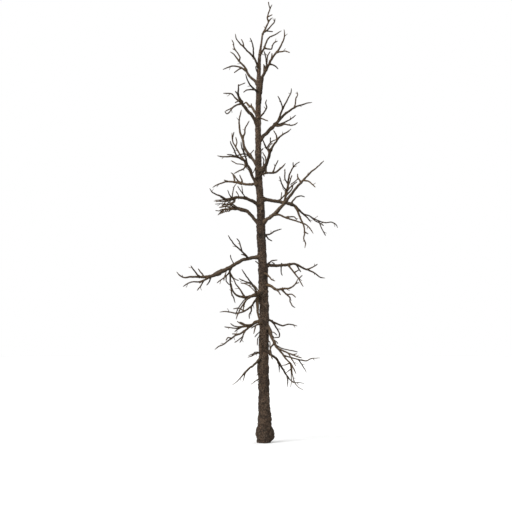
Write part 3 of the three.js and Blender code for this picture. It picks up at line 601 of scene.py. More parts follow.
def course(root, reach, headings, depth):
    """One step for each heading, all with the same length in the XZ plane."""
    step = reach / len(headings)
    swing = np.radians(np.clip(depth + np.resize(WANDER, len(headings)), -DEEPEST, DEEPEST))
    turn = np.radians(headings)
    steps = step * np.stack([np.cos(turn), np.tan(swing), np.sin(turn)], axis=-1)
    return np.vstack([root, root + steps.cumsum(axis=0)])


def taper(count, radius, tip_radius, swelling=None):
    share = np.linspace(0, 1, count)
    radii = radius + (tip_radius - radius) * share
    if swelling:
        place, extra = swelling
        radii += extra * np.exp(-((share - place) / SWELLING_LENGTH) ** 2)
    return radii


def place_on(limb, share):
    """The point, the radius and the heading at a share of a limb's length."""
    steps = len(limb.points) - 1
    i = min(steps - 1, math.floor(share * steps))
    part = share * steps - i
    point = limb.points[i] + (limb.points[i + 1] - limb.points[i]) * part
    radius = limb.radii[i] + (limb.radii[i + 1] - limb.radii[i]) * part
    return point, radius, limb.headings[i]


def lay(limb, root, skip, collar=1):
    """Lays a limb out, and swings it shallower or deeper until it is clear of the rest."""
    radii = taper(len(limb.headings) + 1, limb.radius, limb.tip_radius, SWELLINGS.get(limb.name))
    outward = -1 if limb.depth < 0 else 1
    most = -math.inf
    for swing in SWINGS:
        points = course(root, limb.reach, limb.headings, limb.depth + swing * outward)
        space = space_round(points, radii, skip)
        if space > most:
            most = space
            limb.points = points
        if space >= CLEARANCE:
            break
    radii[0] *= collar
    limb.radii = radii
    room.fill(limb.points, radii)


def root_of(limb):
    """Where a limb starts, on the middle line of what bears it, and the radius there."""
    if limb.parent == "trunk":
        return trunk_centre(limb.place), trunk_radius(limb.place)
    return place_on(stems[limb.parent], limb.place)[:2]


def lay_out(limb):
    """Lays out a bough or the stem of a mass from the foot that its parent hides."""
    root, radius = root_of(limb)
    if limb.parent == "trunk":
        turn, swing = math.radians(limb.headings[0]), math.radians(limb.depth)
        level = math.hypot(math.cos(turn) * math.cos(swing), math.sin(swing))
        hidden = (radius * FOOT_IN_TRUNK + limb.radius) / level
        lay(limb, root, hidden, COLLAR if limb.place < TRUNK_HEIGHT else 1)
    elif limb.place < 1:
        lay(limb, root, FOOT_IN_LIMB * (radius + limb.radius))
    else:
        before, tip = stems[limb.parent].points[-2:]
        lay(limb, root + unit(tip - before) * SEAT_GAP, FOOT_ON_TIP * limb.radius)


def lay_out_forks(limb):
    """The forks of a limb, and theirs."""
    for child in limb.forks:
        root, radius, _ = place_on(limb, child.place)
        grown_radius = FORK_RADIUS + FORK_RADIUS_PER_METRE * child.reach
        child.radius = min(radius * FORK_SHARE, grown_radius)
        lay(child, root, FOOT_IN_LIMB * (radius + child.radius))
        limb.branches.append(child)
        lay_out_forks(child)


def sprout(limb, growth, draw):
    """The seeded twigs of a limb and of its branches, to either side in turn.

    One that would touch a limb or leave the crown is skipped.
    """
    low, high = growth.stretch
    count = math.floor(limb.reach / growth.spacing + 0.5)
    sprouted = []
    for k in range(count):
        share = low + (high - low) * (k + draw(*growth.scatter)) / count
        spread = (1 if k % 2 == 0 else -1) * draw(*growth.spread)
        reach = draw(*growth.reach)
        depth = draw(-growth.depth, growth.depth)
        bend = draw(-growth.bend, growth.bend)
        root, radius, heading = place_on(limb, share)
        twig = Limb(share, reach, [heading + spread, heading + spread + bend], depth)
        twig.radius = min(growth.radius, radius * FORK_SHARE)
        twig.points = course(root, reach, twig.headings, depth)
        twig.radii = taper(len(twig.points), twig.radius, growth.tip_radius)
        foot = FOOT_IN_LIMB * (radius + twig.radius)
        if space_round(twig.points, twig.radii, foot) >= growth.clearance:
            room.fill(twig.points, twig.radii)
            sprouted.append(twig)
    for branch in limb.branches:
        sprout(branch, growth, draw)
    limb.twigs = limb.twigs + sprouted


def grow(growth):
    """One generation of twigs on every mass, each mass with a seed of its own."""
    for i, mass in enumerate(TWIG_MASSES):
        sprout(mass, growth, seeded(growth.first_seed + growth.seed_step * i))


room = Room()
trunk_line = trunk_centre(np.linspace(0, TRUNK_HEIGHT, TRUNK_STEPS + 1))
room.fill(trunk_line, trunk_radius(trunk_line[:, 2]))
stems = {}
for limb in BOUGHS + TWIG_MASSES:
    lay_out(limb)
    stems[limb.name] = limb
for mass in TWIG_MASSES:
    lay_out_forks(mass)
grow(TWIGS)

snags = {}
for limb in SNAGS:
    root, radius = root_of(limb)
    lay(limb, root, FOOT_IN_LIMB * (radius + limb.radius))
    snags.setdefault(limb.parent, []).append(limb)
grow(TWIGLETS)

# ---------------------------------------------------------------- the line and girth of a limb

RING_STEP = 9 * MM         # between the rings of a limb's sleeve
ROUNDING = 0.7             # how far a limb's bends are rounded; the rest stays crooked
GNARL = 0.25               # how far a limb strays from its line, as a share of its radius,
GNARL_LEAST = 2.5 * MM     # plus this much
GNARL_RATE = 9             # for each metre, how often it turns
GNARL_FADE = 0.06          # over this length from its foot
LUMPS = 0.13               # how uneven its girth is
LUMP_RATE = 22
FOOT_FLARE = 0.32          # how far a limb swells towards what it grows from,
FLARE_LENGTH = 1.6         # over this many of its own radii
KNOT = 0.15                # how far a limb swells where another leaves it,
KNOT_LENGTH = 2            # and over what length, both in that one's radii
LOOSE_BARK = 5 * MM        # dry bark stands this far off the wood of trunk and limbs,
THIN_BARK = 0.5            # and on a thin twig no more than this share of its radius
TIP_DRAW = 0.5             # how far the last stretch of a limb thins out,
TIP_STRETCH = 0.13         # and that stretch, as a share of its length
WORN = (2.6, 2.2)          # between these heights limbs turn into the oldest and most worn ones,
WORN_DRAW = 0.6            # which thin out this much,
WORN_STRETCH = 0.85        # over this stretch
BLUNT = 0.45               # the last ring, as a share of the girth there

# Burls on a limb: how far along it, how much thicker (or thinner), and over what length.
BURLS = {
    "knot_right_bough": [(0.17, 0.024, 0.09), (0.36, 0.008, 0.05)],
    "knot_right_low_twigs": [(0.8, 0.006, 0.3)],
    "short_left_twigs": [(0.5, 0.014, 0.35)],
    "rising_left_bough": [(0.74, 0.012, 0.2)],
    "rising_right_bough": [(0.65, 0.009, 0.15)],
    "long_left_bough": [(1.34, 0.018, 0.1)],
    "fan_left_bough": [(0.16, 0.018, 0.05), (0.62, 0.012, 0.05)],
    "upright_left_bough": [(0.5, 0.008, 0.07)],
    "high_right_bough": [(0.62, 0.008, 0.05)],
    "front_left_bough": [(0.24, 0.012, 0.06)],
    "level_right_bough": [(0.84, 0.008, 0.06)],
    "drooping_right_bough": [(0.36, 0.012, 0.16)],
    "lowest_left_twigs": [(0.25, -0.005, 0.25)],
    "front_left_hanging_twigs": [(0.55, 0.014, 0.4)],
    "low_left_twigs": [(0.28, 0.012, 0.07)],
}
# Masses whose forks are more slender than the rest, and by how much.
SLENDER = {"thick_left_twigs": 0.75, "rising_left_twigs": 0.75, "lowest_left_twigs": 0.8}
TWIG_GIRTH = 0.7           # how slender a seeded twig has stayed
LEAD_IN = 0.05             # how far back into a bough the stem on its tip starts,
LEAD_GIRTH = 0.9           # the share of the bough's girth that it starts with,
LEAD_OUT = 0.1             # and how far along it the bough's girth tells
PATTERN_STRIDE = 1.7       # between the patterns of one limb and the next
OUTLET_STEPS = 12          # how closely the place is sought where a limb leaves the trunk
FIRST_SIDE = (0.31, 1, 0.17)     # a direction that no limb runs in, to set out its rings from
SIDES = [(24, 16), (16, 12), (10, 9), (6.5, 7), (0, 5)]   # over this radius in mm, so many sides


def curve_through(points, steps, before=None):
    """A line through points, in so many steps from one to the next.

    It lies between the straight line and Catmull and Rom's curve.
    """
    first = 2 * points[0] - points[1] if before is None else before
    knots = np.vstack([first, points, 2 * points[-1] - points[-2]])
    t = np.linspace(0, 1, steps, endpoint=False)[:, None]
    line = []
    for a, b, c, d in zip(knots, knots[1:], knots[2:], knots[3:]):
        curve = (2 * b + (c - a) * t + (2 * a - 5 * b + 4 * c - d) * t ** 2
                 + (3 * b - a - 3 * c + d) * t ** 3) / 2
        straight = b + (c - b) * t
        line.append(straight + (curve - straight) * ROUNDING)
    return np.vstack(line + [points[-1:]])


def arc_lengths(line):
    return np.append(0, np.linalg.norm(np.diff(line, axis=0), axis=1).cumsum())


def noise_at(points, rate, offset):
    """A smooth random vector at each point."""
    off = Vector((offset, 0, -offset))
    return np.array([noise.noise_vector(Vector(p) * rate + off) for p in points])


def outlet(limb):
    """Where a limb leaves the trunk, and how much of its length the trunk hides."""
    line = curve_through(limb.points, OUTLET_STEPS)
    off = np.linalg.norm((line - trunk_centre(line[:, 2]))[:, :2], axis=1)
    out = np.argmax(off > trunk_radius(line[:, 2]))
    return line[out], arc_lengths(line)[out]


class Drawn:
    """The line and the girths that a limb's sleeve is made along.

    The limb is moved so that its foot is at `foot`, and `hidden` of its length lies in its bearer.
    """

    def __init__(self, limb, foot, hidden, before=None):
        points = limb.points + (foot - limb.points[0])
        piece = np.linalg.norm(np.diff(points, axis=0), axis=1).mean()
        line = curve_through(points, max(2, round(piece / RING_STEP)), before)
        share = np.linspace(0, 1, len(line))
        girth = np.interp(share, np.linspace(0, 1, len(points)), limb.radii)
        girth += np.minimum(LOOSE_BARK, THIN_BARK * girth)
        offset = PATTERN_STRIDE * limb.number
        fade = np.clip(arc_lengths(line) / GNARL_FADE, 0, 1)
        stray = (GNARL * girth + GNARL_LEAST) * fade
        self.line = line + noise_at(line, GNARL_RATE, offset) * stray[:, None]
        self.lengths = arc_lengths(self.line)
        lumps = noise_at(self.line, LUMP_RATE, offset)[:, 0]
        past_foot = np.clip(self.lengths - hidden, 0, None) / (FLARE_LENGTH * girth)
        self.girth = girth * (1 + LUMPS * lumps + FOOT_FLARE * np.exp(-past_foot ** 2))
        for child in limb.branches:
            off = (share - child.place) * self.lengths[-1] / (KNOT_LENGTH * child.radius)
            self.girth += KNOT * child.radius * np.exp(-off ** 2)
        for place, extra, length in BURLS.get(limb.name, []):
            self.girth += extra * np.exp(-((share * self.lengths[-1] - place) / length) ** 2)

    def spot(self, share):
        """The point and the girth at a share of the limb's length."""
        at = share * (len(self.line) - 1)
        i = min(int(at), len(self.line) - 2)
        return self.line[i] + (self.line[i + 1] - self.line[i]) * (at - i), self.girth[i]

    def thin_out(self):
        """Draws the end of the limb out thin, the lowest limbs most."""
        worn = np.clip((WORN[0] - self.line[0][2]) / (WORN[0] - WORN[1]), 0, 1)
        stretch = TIP_STRETCH + (WORN_STRETCH - TIP_STRETCH) * worn
        late = np.clip(self.lengths / self.lengths[-1] - 1 + stretch, 0, 1) / stretch
        self.girth = self.girth * (1 - (TIP_DRAW + (WORN_DRAW - TIP_DRAW) * worn) * late ** 2)

    def lead_in(self, bearer):
        """Starts the limb a little way back inside the tip that it grows on from."""
        back = bearer.lengths[-1] - bearer.lengths
        inside = (back < LEAD_IN) & (back > 0)
        near = np.clip(1 - self.lengths / LEAD_OUT, 0, 1)
        self.girth = np.maximum(self.girth, bearer.girth[-1] * near)
        share = LEAD_GIRTH + (1 - LEAD_GIRTH) * (1 - back[inside] / LEAD_IN)
        self.line = np.vstack([bearer.line[inside], self.line])
        self.girth = np.append(bearer.girth[inside] * share, self.girth)
        self.lengths = arc_lengths(self.line)


def rings_round(line, girth, sides, number):
    """The corners of the rings round a line, which way each faces, and where on the bark it is."""
    ahead = np.gradient(line, axis=0)
    ahead /= np.linalg.norm(ahead, axis=1)[:, None]
    across = np.empty_like(line)
    side = np.array(FIRST_SIDE)
    for i, tangent in enumerate(ahead):
        side = unit(side - tangent * (side @ tangent))
        across[i] = side
    other = np.cross(ahead, across)
    turn = np.linspace(0, 2 * math.pi, sides, endpoint=False)[None, :, None]
    outward = across[:, None] * np.cos(turn) + other[:, None] * np.sin(turn)
    round_limb = np.concatenate([np.cos(turn), np.sin(turn)], axis=2) * girth[:, None, None]
    far = arc_lengths(line) + PATTERN_STRIDE * number
    far = np.broadcast_to(far[:, None, None], (len(line), sides, 1))
    on_bark = np.concatenate([round_limb, far], axis=2)
    return line[:, None] + outward * girth[:, None, None], outward, on_bark


# ---------------------------------------------------------------- bark

PLATE_LENGTH = 2.6         # how much longer than wide a plate is
PLATE_WARP = 0.25          # how crooked plates are,
WARP_RATE = 1.3            # and how often they turn
FURROW = 0.28              # how wide the furrows between plates are
RISE = 0.045               # how high a plate stands, as a share of the girth
MEAN_PLATE = 0.6           # the plate height at which the girth stays as it is


def plate_height(place, size):
    """How high the bark stands at a place: 0 in a furrow, 1 on a plate."""
    x, y, z = place
    cell = Vector((x * size, y * size, z * size / PLATE_LENGTH))
    cell += noise.noise_vector(cell * WARP_RATE) * PLATE_WARP
    nearest, second = noise.voronoi(cell)[0][:2]
    edge = min(1, (second - nearest) / FURROW)
    return edge * edge * (3 - 2 * edge)


def plates_at(on_bark, size):
    """The heights of the bark at every corner of a sleeve, with so many plates to a metre."""
    heights = np.array([plate_height(place, size) for place in on_bark.reshape(-1, 3)])
    return heights.reshape(on_bark.shape[:2])


# ---------------------------------------------------------------- meshes

LAYERS = ("tone", "girth", "plate")     # what is kept at each corner for the finishes
TONE_SPREAD = 0.6          # how much paler or darker one limb is than another
TONE_STRIDE = 0.731        # between the tones of one limb and the next
TONE_ROW = (0.5, 0.5)      # and where in the pattern they are read
SEAM = 1e-7                # the two edges of a rolled sheet lie within this


@dataclass
class Sleeve:
    """A limb's rings of corners, with what its material reads at each."""
    corners: np.ndarray
    on_bark: np.ndarray
    tone: np.ndarray
    girth: np.ndarray
    plate: np.ndarray


def sleeve_of(drawn, limb, sides, plates=None):
    """The sleeve of a limb, with raised bark where plates to a metre are given."""
    corners, outward, on_bark = rings_round(drawn.line, drawn.girth, sides, limb.number)
    shape = corners.shape[:2]
    plate = np.full(shape, MEAN_PLATE)
    if plates is not None:
        plate = plates_at(on_bark, plates)
        rise = RISE * drawn.girth[:, None] * (plate - MEAN_PLATE)
        corners += outward * rise[..., None]
    corners[-1] = drawn.line[-1] + (corners[-1] - drawn.line[-1]) * BLUNT
    tone = TONE_SPREAD * noise.noise(Vector((limb.number * TONE_STRIDE, *TONE_ROW)))
    girth = np.broadcast_to(drawn.girth[:, None], shape)
    return Sleeve(corners, on_bark, np.full(shape, tone), girth, plate)


def set_up(name, data):
    """A new object in the scene."""
    thing = bpy.data.objects.new(name, data)
    bpy.context.scene.collection.objects.link(thing)
    return thing


class Rolled:
    """The sleeves of one piece, each rolled up from a sheet with a row for each ring."""

    def __init__(self):
        self.bm = bmesh.new()
        self.place = self.bm.verts.layers.float_vector.new("bark_place")
        self.layers = [self.bm.verts.layers.float.new(layer) for layer in LAYERS]

    def add(self, sleeve):
        bm = self.bm
        rings, sides = sleeve.corners.shape[:2]
        sheet = bmesh.ops.create_grid(bm, x_segments=sides, y_segments=rings - 1, size=1)["verts"]
        values = [getattr(sleeve, layer) for layer in LAYERS]
        for k, vert in enumerate(sheet):
            ring, side = divmod(k, sides + 1)
            at = (ring, side % sides)
            vert.co = sleeve.corners[at]
            vert[self.place] = sleeve.on_bark[at]
            for layer, value in zip(self.layers, values):
                vert[layer] = value[at]
        seam = [vert for k, vert in enumerate(sheet) if k % (sides + 1) in (0, sides)]
        bmesh.ops.remove_doubles(bm, verts=seam, dist=SEAM)
        left = [vert for vert in sheet if vert.is_valid]
        rims = {edge for vert in left for edge in vert.link_edges if edge.is_boundary}
        bmesh.ops.holes_fill(bm, edges=list(rims), sides=0)

    def to_piece(self, name, slot, node):
        """Makes the piece that stands for a node, in the finish of its slot."""
        bmesh.ops.recalc_face_normals(self.bm, faces=self.bm.faces)
        mesh = bpy.data.meshes.new(name)
        self.bm.to_mesh(mesh)
        self.bm.free()
        mesh.polygons.foreach_set("use_smooth", np.ones(len(mesh.polygons), bool))
        mesh.materials.append(finishes[slot])
        piece = set_up(name, mesh)
        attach(piece, "root")
        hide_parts(node)


def sides_for(radius):
    return next(sides for over, sides in SIDES if radius > over * MM)


def number_limbs(limbs, first):
    """Gives every limb a number of its own, which sets its gnarls and its bark."""
    for limb in limbs:
        limb.number = first
        first = number_limbs(limb.branches + limb.twigs, first + 1)
    return first


def draw_forks(sleeves, drawn, limb, slender):
    """Draws all that a limb bears, each from the place on the line that it was drawn along."""
    for children, share in ((limb.branches, slender), (limb.twigs, slender * TWIG_GIRTH)):
        for child in children:
            foot, girth = drawn.spot(child.place)
            on = Drawn(child, foot, girth)
            on.girth *= share
            draw_forks(sleeves, on, child, slender)
            on.thin_out()
            sleeves.add(sleeve_of(on, child, sides_for(child.radius)))


# ---------------------------------------------------------------- the trunk

TRUNK_SIDES = 96
TRUNK_RINGS = 940
RING_CROWDING = 1.12       # over 1, the rings lie closer towards the foot
TRUNK_PLATES = 24          # to a metre
TRUNK_RISE = 0.05          # how high a plate stands, as a share of the radius
# How uneven the trunk is, as shares of its radius, and how often.
SWELLS = [(0.15, 5), (0.13, 14)]

# Old wounds in the trunk: height, bearing, half the height, half the width in degrees, depth,
# and how much darker than the bark (or paler, where it is negative).
SCARS = [
    (5.68, 262, 0.06, 20, 0.012, 1.1), (6.38, 300, 0.04, 15, 0.006, 0.5),
    (3.62, 250, 0.05, 13, 0.007, -0.4), (2.66, 262, 0.05, 14, 0.007, 0.3),
    (7.38, 312, 0.11, 24, 0.012, 1.0), (8.9, 85, 0.07, 24, 0.01, 0.5),
    (5.66, 300, 0.1, 10, 0.002, -0.5), (3.12, 322, 0.09, 16, 0.006, 0.9),
    (4.6, 120, 0.09, 20, 0.012, 0.6), (1.7, 40, 0.08, 18, 0.01, 0.5),
    (2.4, 195, 0.12, 20, 0.01, 0.4), (6.9, 60, 0.1, 20, 0.01, 0.7),
]
SCAR_EDGE = 4              # the higher, the flatter in the middle and the steeper at the edge

# Where it bulges: height, bearing, half the height, half the width in degrees, and how far.
BULGES = [
    (5.66, 182, 0.36, 60, 0.024), (2.05, 184, 0.16, 40, 0.012), (0.72, 0, 0.12, 50, 0.016),
    (0.72, 178, 0.1, 50, 0.012), (0.06, 190, 0.09, 50, 0.008), (0.0, 2, 0.1, 60, -0.065),
]
BULGE_EDGE = 2

# How dark (-) or pale (+) the bark is at a height: darker towards the foot and round 5.3 m, paler
# towards the top.
TRUNK_TONES = [
    (0.0, -0.42), (1.8, -0.52), (2.2, -0.26), (3.2, -0.16), (4.0, 0.0),
    (5.3, -0.5), (6.5, -0.22), (7.4, 0.0), (8.5, 0.32), (11.0, 0.32),
]
# How much paler or darker its patches are, and how often they come.
TRUNK_PATCHES = [(0.45, 2.3), (0.5, 8)]
COLLAR_RISE = 0.5          # how far the trunk swells round the foot of a limb,
COLLAR_WIDTH = 1.7         # and how widely, both in the limb's radii
COLLAR_END = 4             # past so many widths nothing is left of it


def shoulder_swell(turn, height):
    """How far the roots' shoulders swell the foot at a height, in a direction."""
    swell = 0
    for bearing, most, level in ROOT_SHOULDERS:
        away = turn - math.radians(bearing)
        across = math.atan2(math.sin(away), math.cos(away)) / math.radians(SHOULDER_WIDTH)
        rise = (height - level) / (SHOULDER_RISE if height > level else SHOULDER_TUCK)
        swell += most * math.exp(-across * across - rise * rise)
    return swell


def near_spot(heights, turns, spot, edge):
    """How near each corner of the trunk is to a spot on it: 1 in the middle, 0 far off."""
    height, bearing, tall, wide = spot
    away = (np.degrees(turns) - bearing + 180) % 360 - 180
    return np.exp(-((heights[:, None] - height) / tall) ** edge - (away / wide) ** edge)


def trunk_sleeve(feet):
    """The trunk's rings, with its shoulders, its unevenness, a collar round each limb, and bark."""
    share = np.linspace(0, 1, TRUNK_RINGS + 1)
    heights = TRUNK_HEIGHT * share ** RING_CROWDING
    centres = trunk_centre(heights)
    radii = trunk_radius(heights)
    turns = np.linspace(0, 2 * math.pi, TRUNK_SIDES, endpoint=False)
    shape = (len(heights), TRUNK_SIDES)
    radius = np.broadcast_to(radii[:, None], shape).copy()
    for r, height in enumerate(heights):
        if height < SHOULDER_TOP:
            radius[r] += [shoulder_swell(turn, height) for turn in turns]
    across = [np.broadcast_to(np.cos(turns), shape), np.broadcast_to(np.sin(turns), shape)]
    outward = np.stack(across + [np.zeros(shape)], axis=-1)
    for foot, size in feet:
        near = abs(heights - foot[2]) < COLLAR_END * COLLAR_WIDTH * size
        skin = centres[near, None] + outward[near] * radius[near][..., None]
        off = np.linalg.norm(skin - foot, axis=-1) / (COLLAR_WIDTH * size)
        radius[near] += COLLAR_RISE * size * np.exp(-off ** 2)
    on_bark = outward * radius[..., None] + np.stack([0 * radii, 0 * radii, heights], -1)[:, None]
    plates = plates_at(on_bark, TRUNK_PLATES)
    flat = on_bark.reshape(-1, 3)
    for swell, rate in SWELLS:
        radius += radii[:, None] * swell * noise_at(flat, rate, rate)[:, 0].reshape(shape)
    tone = np.broadcast_to(along(TRUNK_TONES, heights, 1)[:, None], shape).copy()
    for patch, rate in TRUNK_PATCHES:
        tone += patch * noise_at(flat, rate, rate)[:, 1].reshape(shape)
    for *spot, swell in BULGES:
        radius += swell * near_spot(heights, turns, spot, BULGE_EDGE)
    for *spot, depth, dark in SCARS:
        bare = near_spot(heights, turns, spot, SCAR_EDGE)
        radius -= depth * bare
        plates = plates * (1 - bare)
        tone -= dark * bare
    radius += LOOSE_BARK + radii[:, None] * TRUNK_RISE * (plates - MEAN_PLATE)
    corners = centres[:, None] + outward * radius[..., None]
    return Sleeve(corners, on_bark, tone, radius, plates)


# ---------------------------------------------------------------- finishes

# The grain: its cells are drawn out along a limb, and its cracks run between them.
GRAIN_STRETCH = (1, 1, 0.22)
GRAIN_WANDER = 0.6         # how crooked the cracks are,
GRAIN_WANDER_RATE = 0.7    # and how often they turn
CRACK_WIDTH = 0.16         # share of a cell
CRACK_DEPTH = 0.7          # next to the height of the flakes
CRACK_DARK = 0.75          # how far a crack takes the furrows' colour
FLAKE_RATE = 2.3           # for each cell
GRAIN_RELIEF = 0.12        # how high the grain is, next to its cells,
GRAIN_STRENGTH = 0.7       # and how strongly it shows

# Stains on dead bark: how often they come, where their pattern starts, where they begin and where
# they are full, how much they cover, and their colour.
STAINS = {
    "Bleached": (9.0, (0, 0, 0), 0.45, 0.7, 0.35, (0.086, 0.071, 0.057, 1)),
    "Rusty": (13.0, (11, 5, 3), 0.52, 0.72, 0.5, (0.062, 0.033, 0.023, 1)),
    "Lichen": (22.0, (-7, 2, 9), 0.58, 0.7, 0.3, (0.052, 0.058, 0.036, 1)),
}
STAIN_STRETCH = (1, 1, 0.5)
# Painted light and shade: bark that faces this way (up, left and a little forward, where the light
# falls from) is painted paler, and bark that faces away is painted darker.
PAINTED_LIGHT_FROM = (-0.36, -0.16, 0.92)
PAINTED_LIGHT_RANGE = (-0.75, 0.75)       # how far bark faces that way, where the painted shade and the painted light are full

# What a finish reads, from the low end of its range to the high end, and what each end gives.
FLAKE_COVER = (0.42, 0.7, 0.0, 0.75)       # height of a flake: share of its own colour
THIN_COVER = (0.003, 0.014, 0.7, 0.0)      # girth: share of the colour of thin twigs
TONE_SHADES = (-1.2, 1.2, 0.4, 1.6)        # tone: brightness
FLAKE_ROUGHNESS = (0.3, 0.7, 0.95, 0.8)    # height of a flake: roughness
SPECKLE_RATE = 38.0        # to a metre
SPECKLE_EDGE = (0.4, 0.6)
BARK_SHINE = 0.15


class Graph:
    """Adds nodes to a node tree and links them, so that a finish reads as a list of steps."""

    def __init__(self, tree):
        self.tree = tree

    def put(self, socket, value):
        """Links a socket to another, or sets it to a fixed value."""
        if isinstance(value, bpy.types.NodeSocket):
            self.tree.links.new(value, socket)
        elif value is not None:
            socket.default_value = value

    def node(self, kind, settings=None, **values):
        node = self.tree.nodes.new(kind)
        for key, value in (settings or {}).items():
            setattr(node, key, value)
        for key, value in values.items():
            self.put(node.inputs[key], value)
        return node

    def attribute(self, name, output):
        return self.node("ShaderNodeAttribute", {"attribute_name": name}).outputs[output]

    def worked_out(self, kind, operation, values, output):
        node = self.node(kind, {"operation": operation})
        for socket, value in zip(node.inputs, values):
            self.put(socket, value)
        return node.outputs[output]

    def vector(self, operation, a, b=None, c=None, scale=None, output="Vector"):
        return self.worked_out("ShaderNodeVectorMath", operation, (a, b, c, scale), output)

    def math(self, operation, a, b):
        return self.worked_out("ShaderNodeMath", operation, (a, b), "Value")

    def noise(self, vector, scale, detail=4, roughness=0.6):
        node = self.node("ShaderNodeTexNoise", Vector=vector, Scale=scale, Detail=detail,
                         Roughness=roughness)
        return node.outputs["Fac"]

    def spread(self, value, low, high, to_low=0.0, to_high=1.0):
        """A value turned smoothly from one range into another."""
        node = self.node("ShaderNodeMapRange", {"interpolation_type": "SMOOTHSTEP"}, Value=value)
        for key, number in (("From Min", low), ("From Max", high),
                            ("To Min", to_low), ("To Max", to_high)):
            node.inputs[key].default_value = number
        return node.outputs["Result"]

    def mix(self, share, a, b):
        """A colour between two, by its share of the second."""
        node = self.node("ShaderNodeMix", {"data_type": "RGBA"})
        for socket, value in ((0, share), (6, a), (7, b)):      # its sockets for colours
            self.put(node.inputs[socket], value)
        return node.outputs[2]


def new_group(name, inputs, outputs):
    """The graph of a new node group with the given sockets, its inputs and its output node's."""
    tree = bpy.data.node_groups.new(name, "ShaderNodeTree")
    for label, kind in inputs.items():
        tree.interface.new_socket(label, in_out="INPUT", socket_type=kind)
    for label in outputs:
        tree.interface.new_socket(label, in_out="OUTPUT", socket_type="NodeSocketFloat")
    graph = Graph(tree)
    return graph, graph.node("NodeGroupInput").outputs, graph.node("NodeGroupOutput").inputs


def bark_grain():
    """Fine cracks and flakes that run along a limb: their height, and where they are open."""
    graph, inside, end = new_group(
        "bark_grain", {"Place": "NodeSocketVector", "Size": "NodeSocketFloat"},
        ["Height", "Cracks", "Flakes"])
    drawn_out = graph.vector("MULTIPLY", inside["Place"], GRAIN_STRETCH)
    sized = graph.vector("SCALE", drawn_out, scale=inside["Size"])
    wander = graph.node("ShaderNodeTexNoise", Vector=sized, Scale=GRAIN_WANDER_RATE, Detail=2.0)
    crooked = graph.vector("MULTIPLY_ADD", wander.outputs["Color"], (GRAIN_WANDER,) * 3, sized)
    cells = graph.node("ShaderNodeTexVoronoi", {"feature": "DISTANCE_TO_EDGE"},
                       Vector=crooked, Scale=1.0)
    cracks = graph.spread(cells.outputs["Distance"], 0.0, CRACK_WIDTH, 1.0, 0.0)
    flakes = graph.noise(crooked, FLAKE_RATE, detail=5.0, roughness=0.65)
    sunk = graph.math("MULTIPLY", cracks, CRACK_DEPTH)
    graph.put(end["Height"], graph.math("SUBTRACT", flakes, sunk))
    graph.put(end["Cracks"], cracks)
    graph.put(end["Flakes"], flakes)
    return graph.tree


def stains_and_painted_light():
    """Large soft patches where dead bark is stained, and a mask for painted light and shade: how
    far the bark faces the light.
    """
    graph, inside, end = new_group("stains_and_painted_light", {"Place": "NodeSocketVector"},
                                   [*STAINS, "PaintedLight"])
    # Painted light and shade: a mask that is 1 where the bark faces the light and 0 where it faces
    # away.
    normal = graph.node("ShaderNodeNewGeometry").outputs["Normal"]
    facing = graph.vector("DOT_PRODUCT", normal, PAINTED_LIGHT_FROM, output="Value")
    graph.put(end["PaintedLight"], graph.spread(facing, *PAINTED_LIGHT_RANGE))
    drawn_out = graph.vector("MULTIPLY", inside["Place"], STAIN_STRETCH)
    for stain, (rate, start, begins, full, _, _) in STAINS.items():
        pattern = graph.noise(graph.vector("ADD", drawn_out, start), rate)
        graph.put(end[stain], graph.spread(pattern, begins, full))
    return graph.tree


grain = bark_grain()
patches = stains_and_painted_light()


def bark_finish(name, furrow, plate, flake, size, painted_shade_dim, painted_light_lift, mottle, thin=None):
    """A dead bark: its furrows, its plates and its flakes, and a colour for twigs thin enough.

    `size` is how fine its grain is, in cells to a metre, the next two are painted shade and painted
    light: how much darker it is painted where it faces away from the light and how much paler where
    it faces it, and `mottle` is how much its small patches differ.
    """
    material = bpy.data.materials.new(name)
    material.use_nodes = True
    graph = Graph(material.node_tree)
    shader = graph.tree.nodes["Principled BSDF"].inputs
    place = graph.attribute("bark_place", "Vector")
    fine = graph.node("ShaderNodeGroup", {"node_tree": grain}, Place=place, Size=size).outputs
    stains_and_light_mask = graph.node("ShaderNodeGroup", {"node_tree": patches}, Place=place).outputs
    colour = graph.mix(graph.attribute("plate", "Fac"), furrow, plate)
    colour = graph.mix(graph.spread(fine["Flakes"], *FLAKE_COVER), colour, flake)
    for stain, (*_, cover, tint) in STAINS.items():
        colour = graph.mix(graph.math("MULTIPLY", stains_and_light_mask[stain], cover), colour, tint)
    colour = graph.mix(graph.math("MULTIPLY", fine["Cracks"], CRACK_DARK), colour, furrow)
    if thin is not None:
        slender = graph.spread(graph.attribute("girth", "Fac"), *THIN_COVER)
        colour = graph.mix(slender, colour, thin)
    shade = graph.spread(graph.attribute("tone", "Fac"), *TONE_SHADES)
    # Painted light and shade: the colour is darkened where the bark faces away from the light and
    # paled where it faces it.
    shade = graph.math("MULTIPLY", shade, graph.spread(stains_and_light_mask["PaintedLight"], 0, 1, painted_shade_dim, painted_light_lift))
    speckle = graph.spread(graph.noise(place, SPECKLE_RATE, detail=3.0), *SPECKLE_EDGE,
                           1 - mottle, 1 + mottle)
    shade = graph.math("MULTIPLY", shade, speckle)
    graph.put(shader["Base Color"], graph.vector("SCALE", colour, scale=shade))
    graph.put(shader["Roughness"], graph.spread(fine["Flakes"], *FLAKE_ROUGHNESS))
    graph.put(shader["Specular IOR Level"], BARK_SHINE)
    bump = graph.node("ShaderNodeBump", Height=fine["Height"], Strength=GRAIN_STRENGTH,
                      Distance=GRAIN_RELIEF / size)
    graph.put(shader["Normal"], bump.outputs["Normal"])
    return material
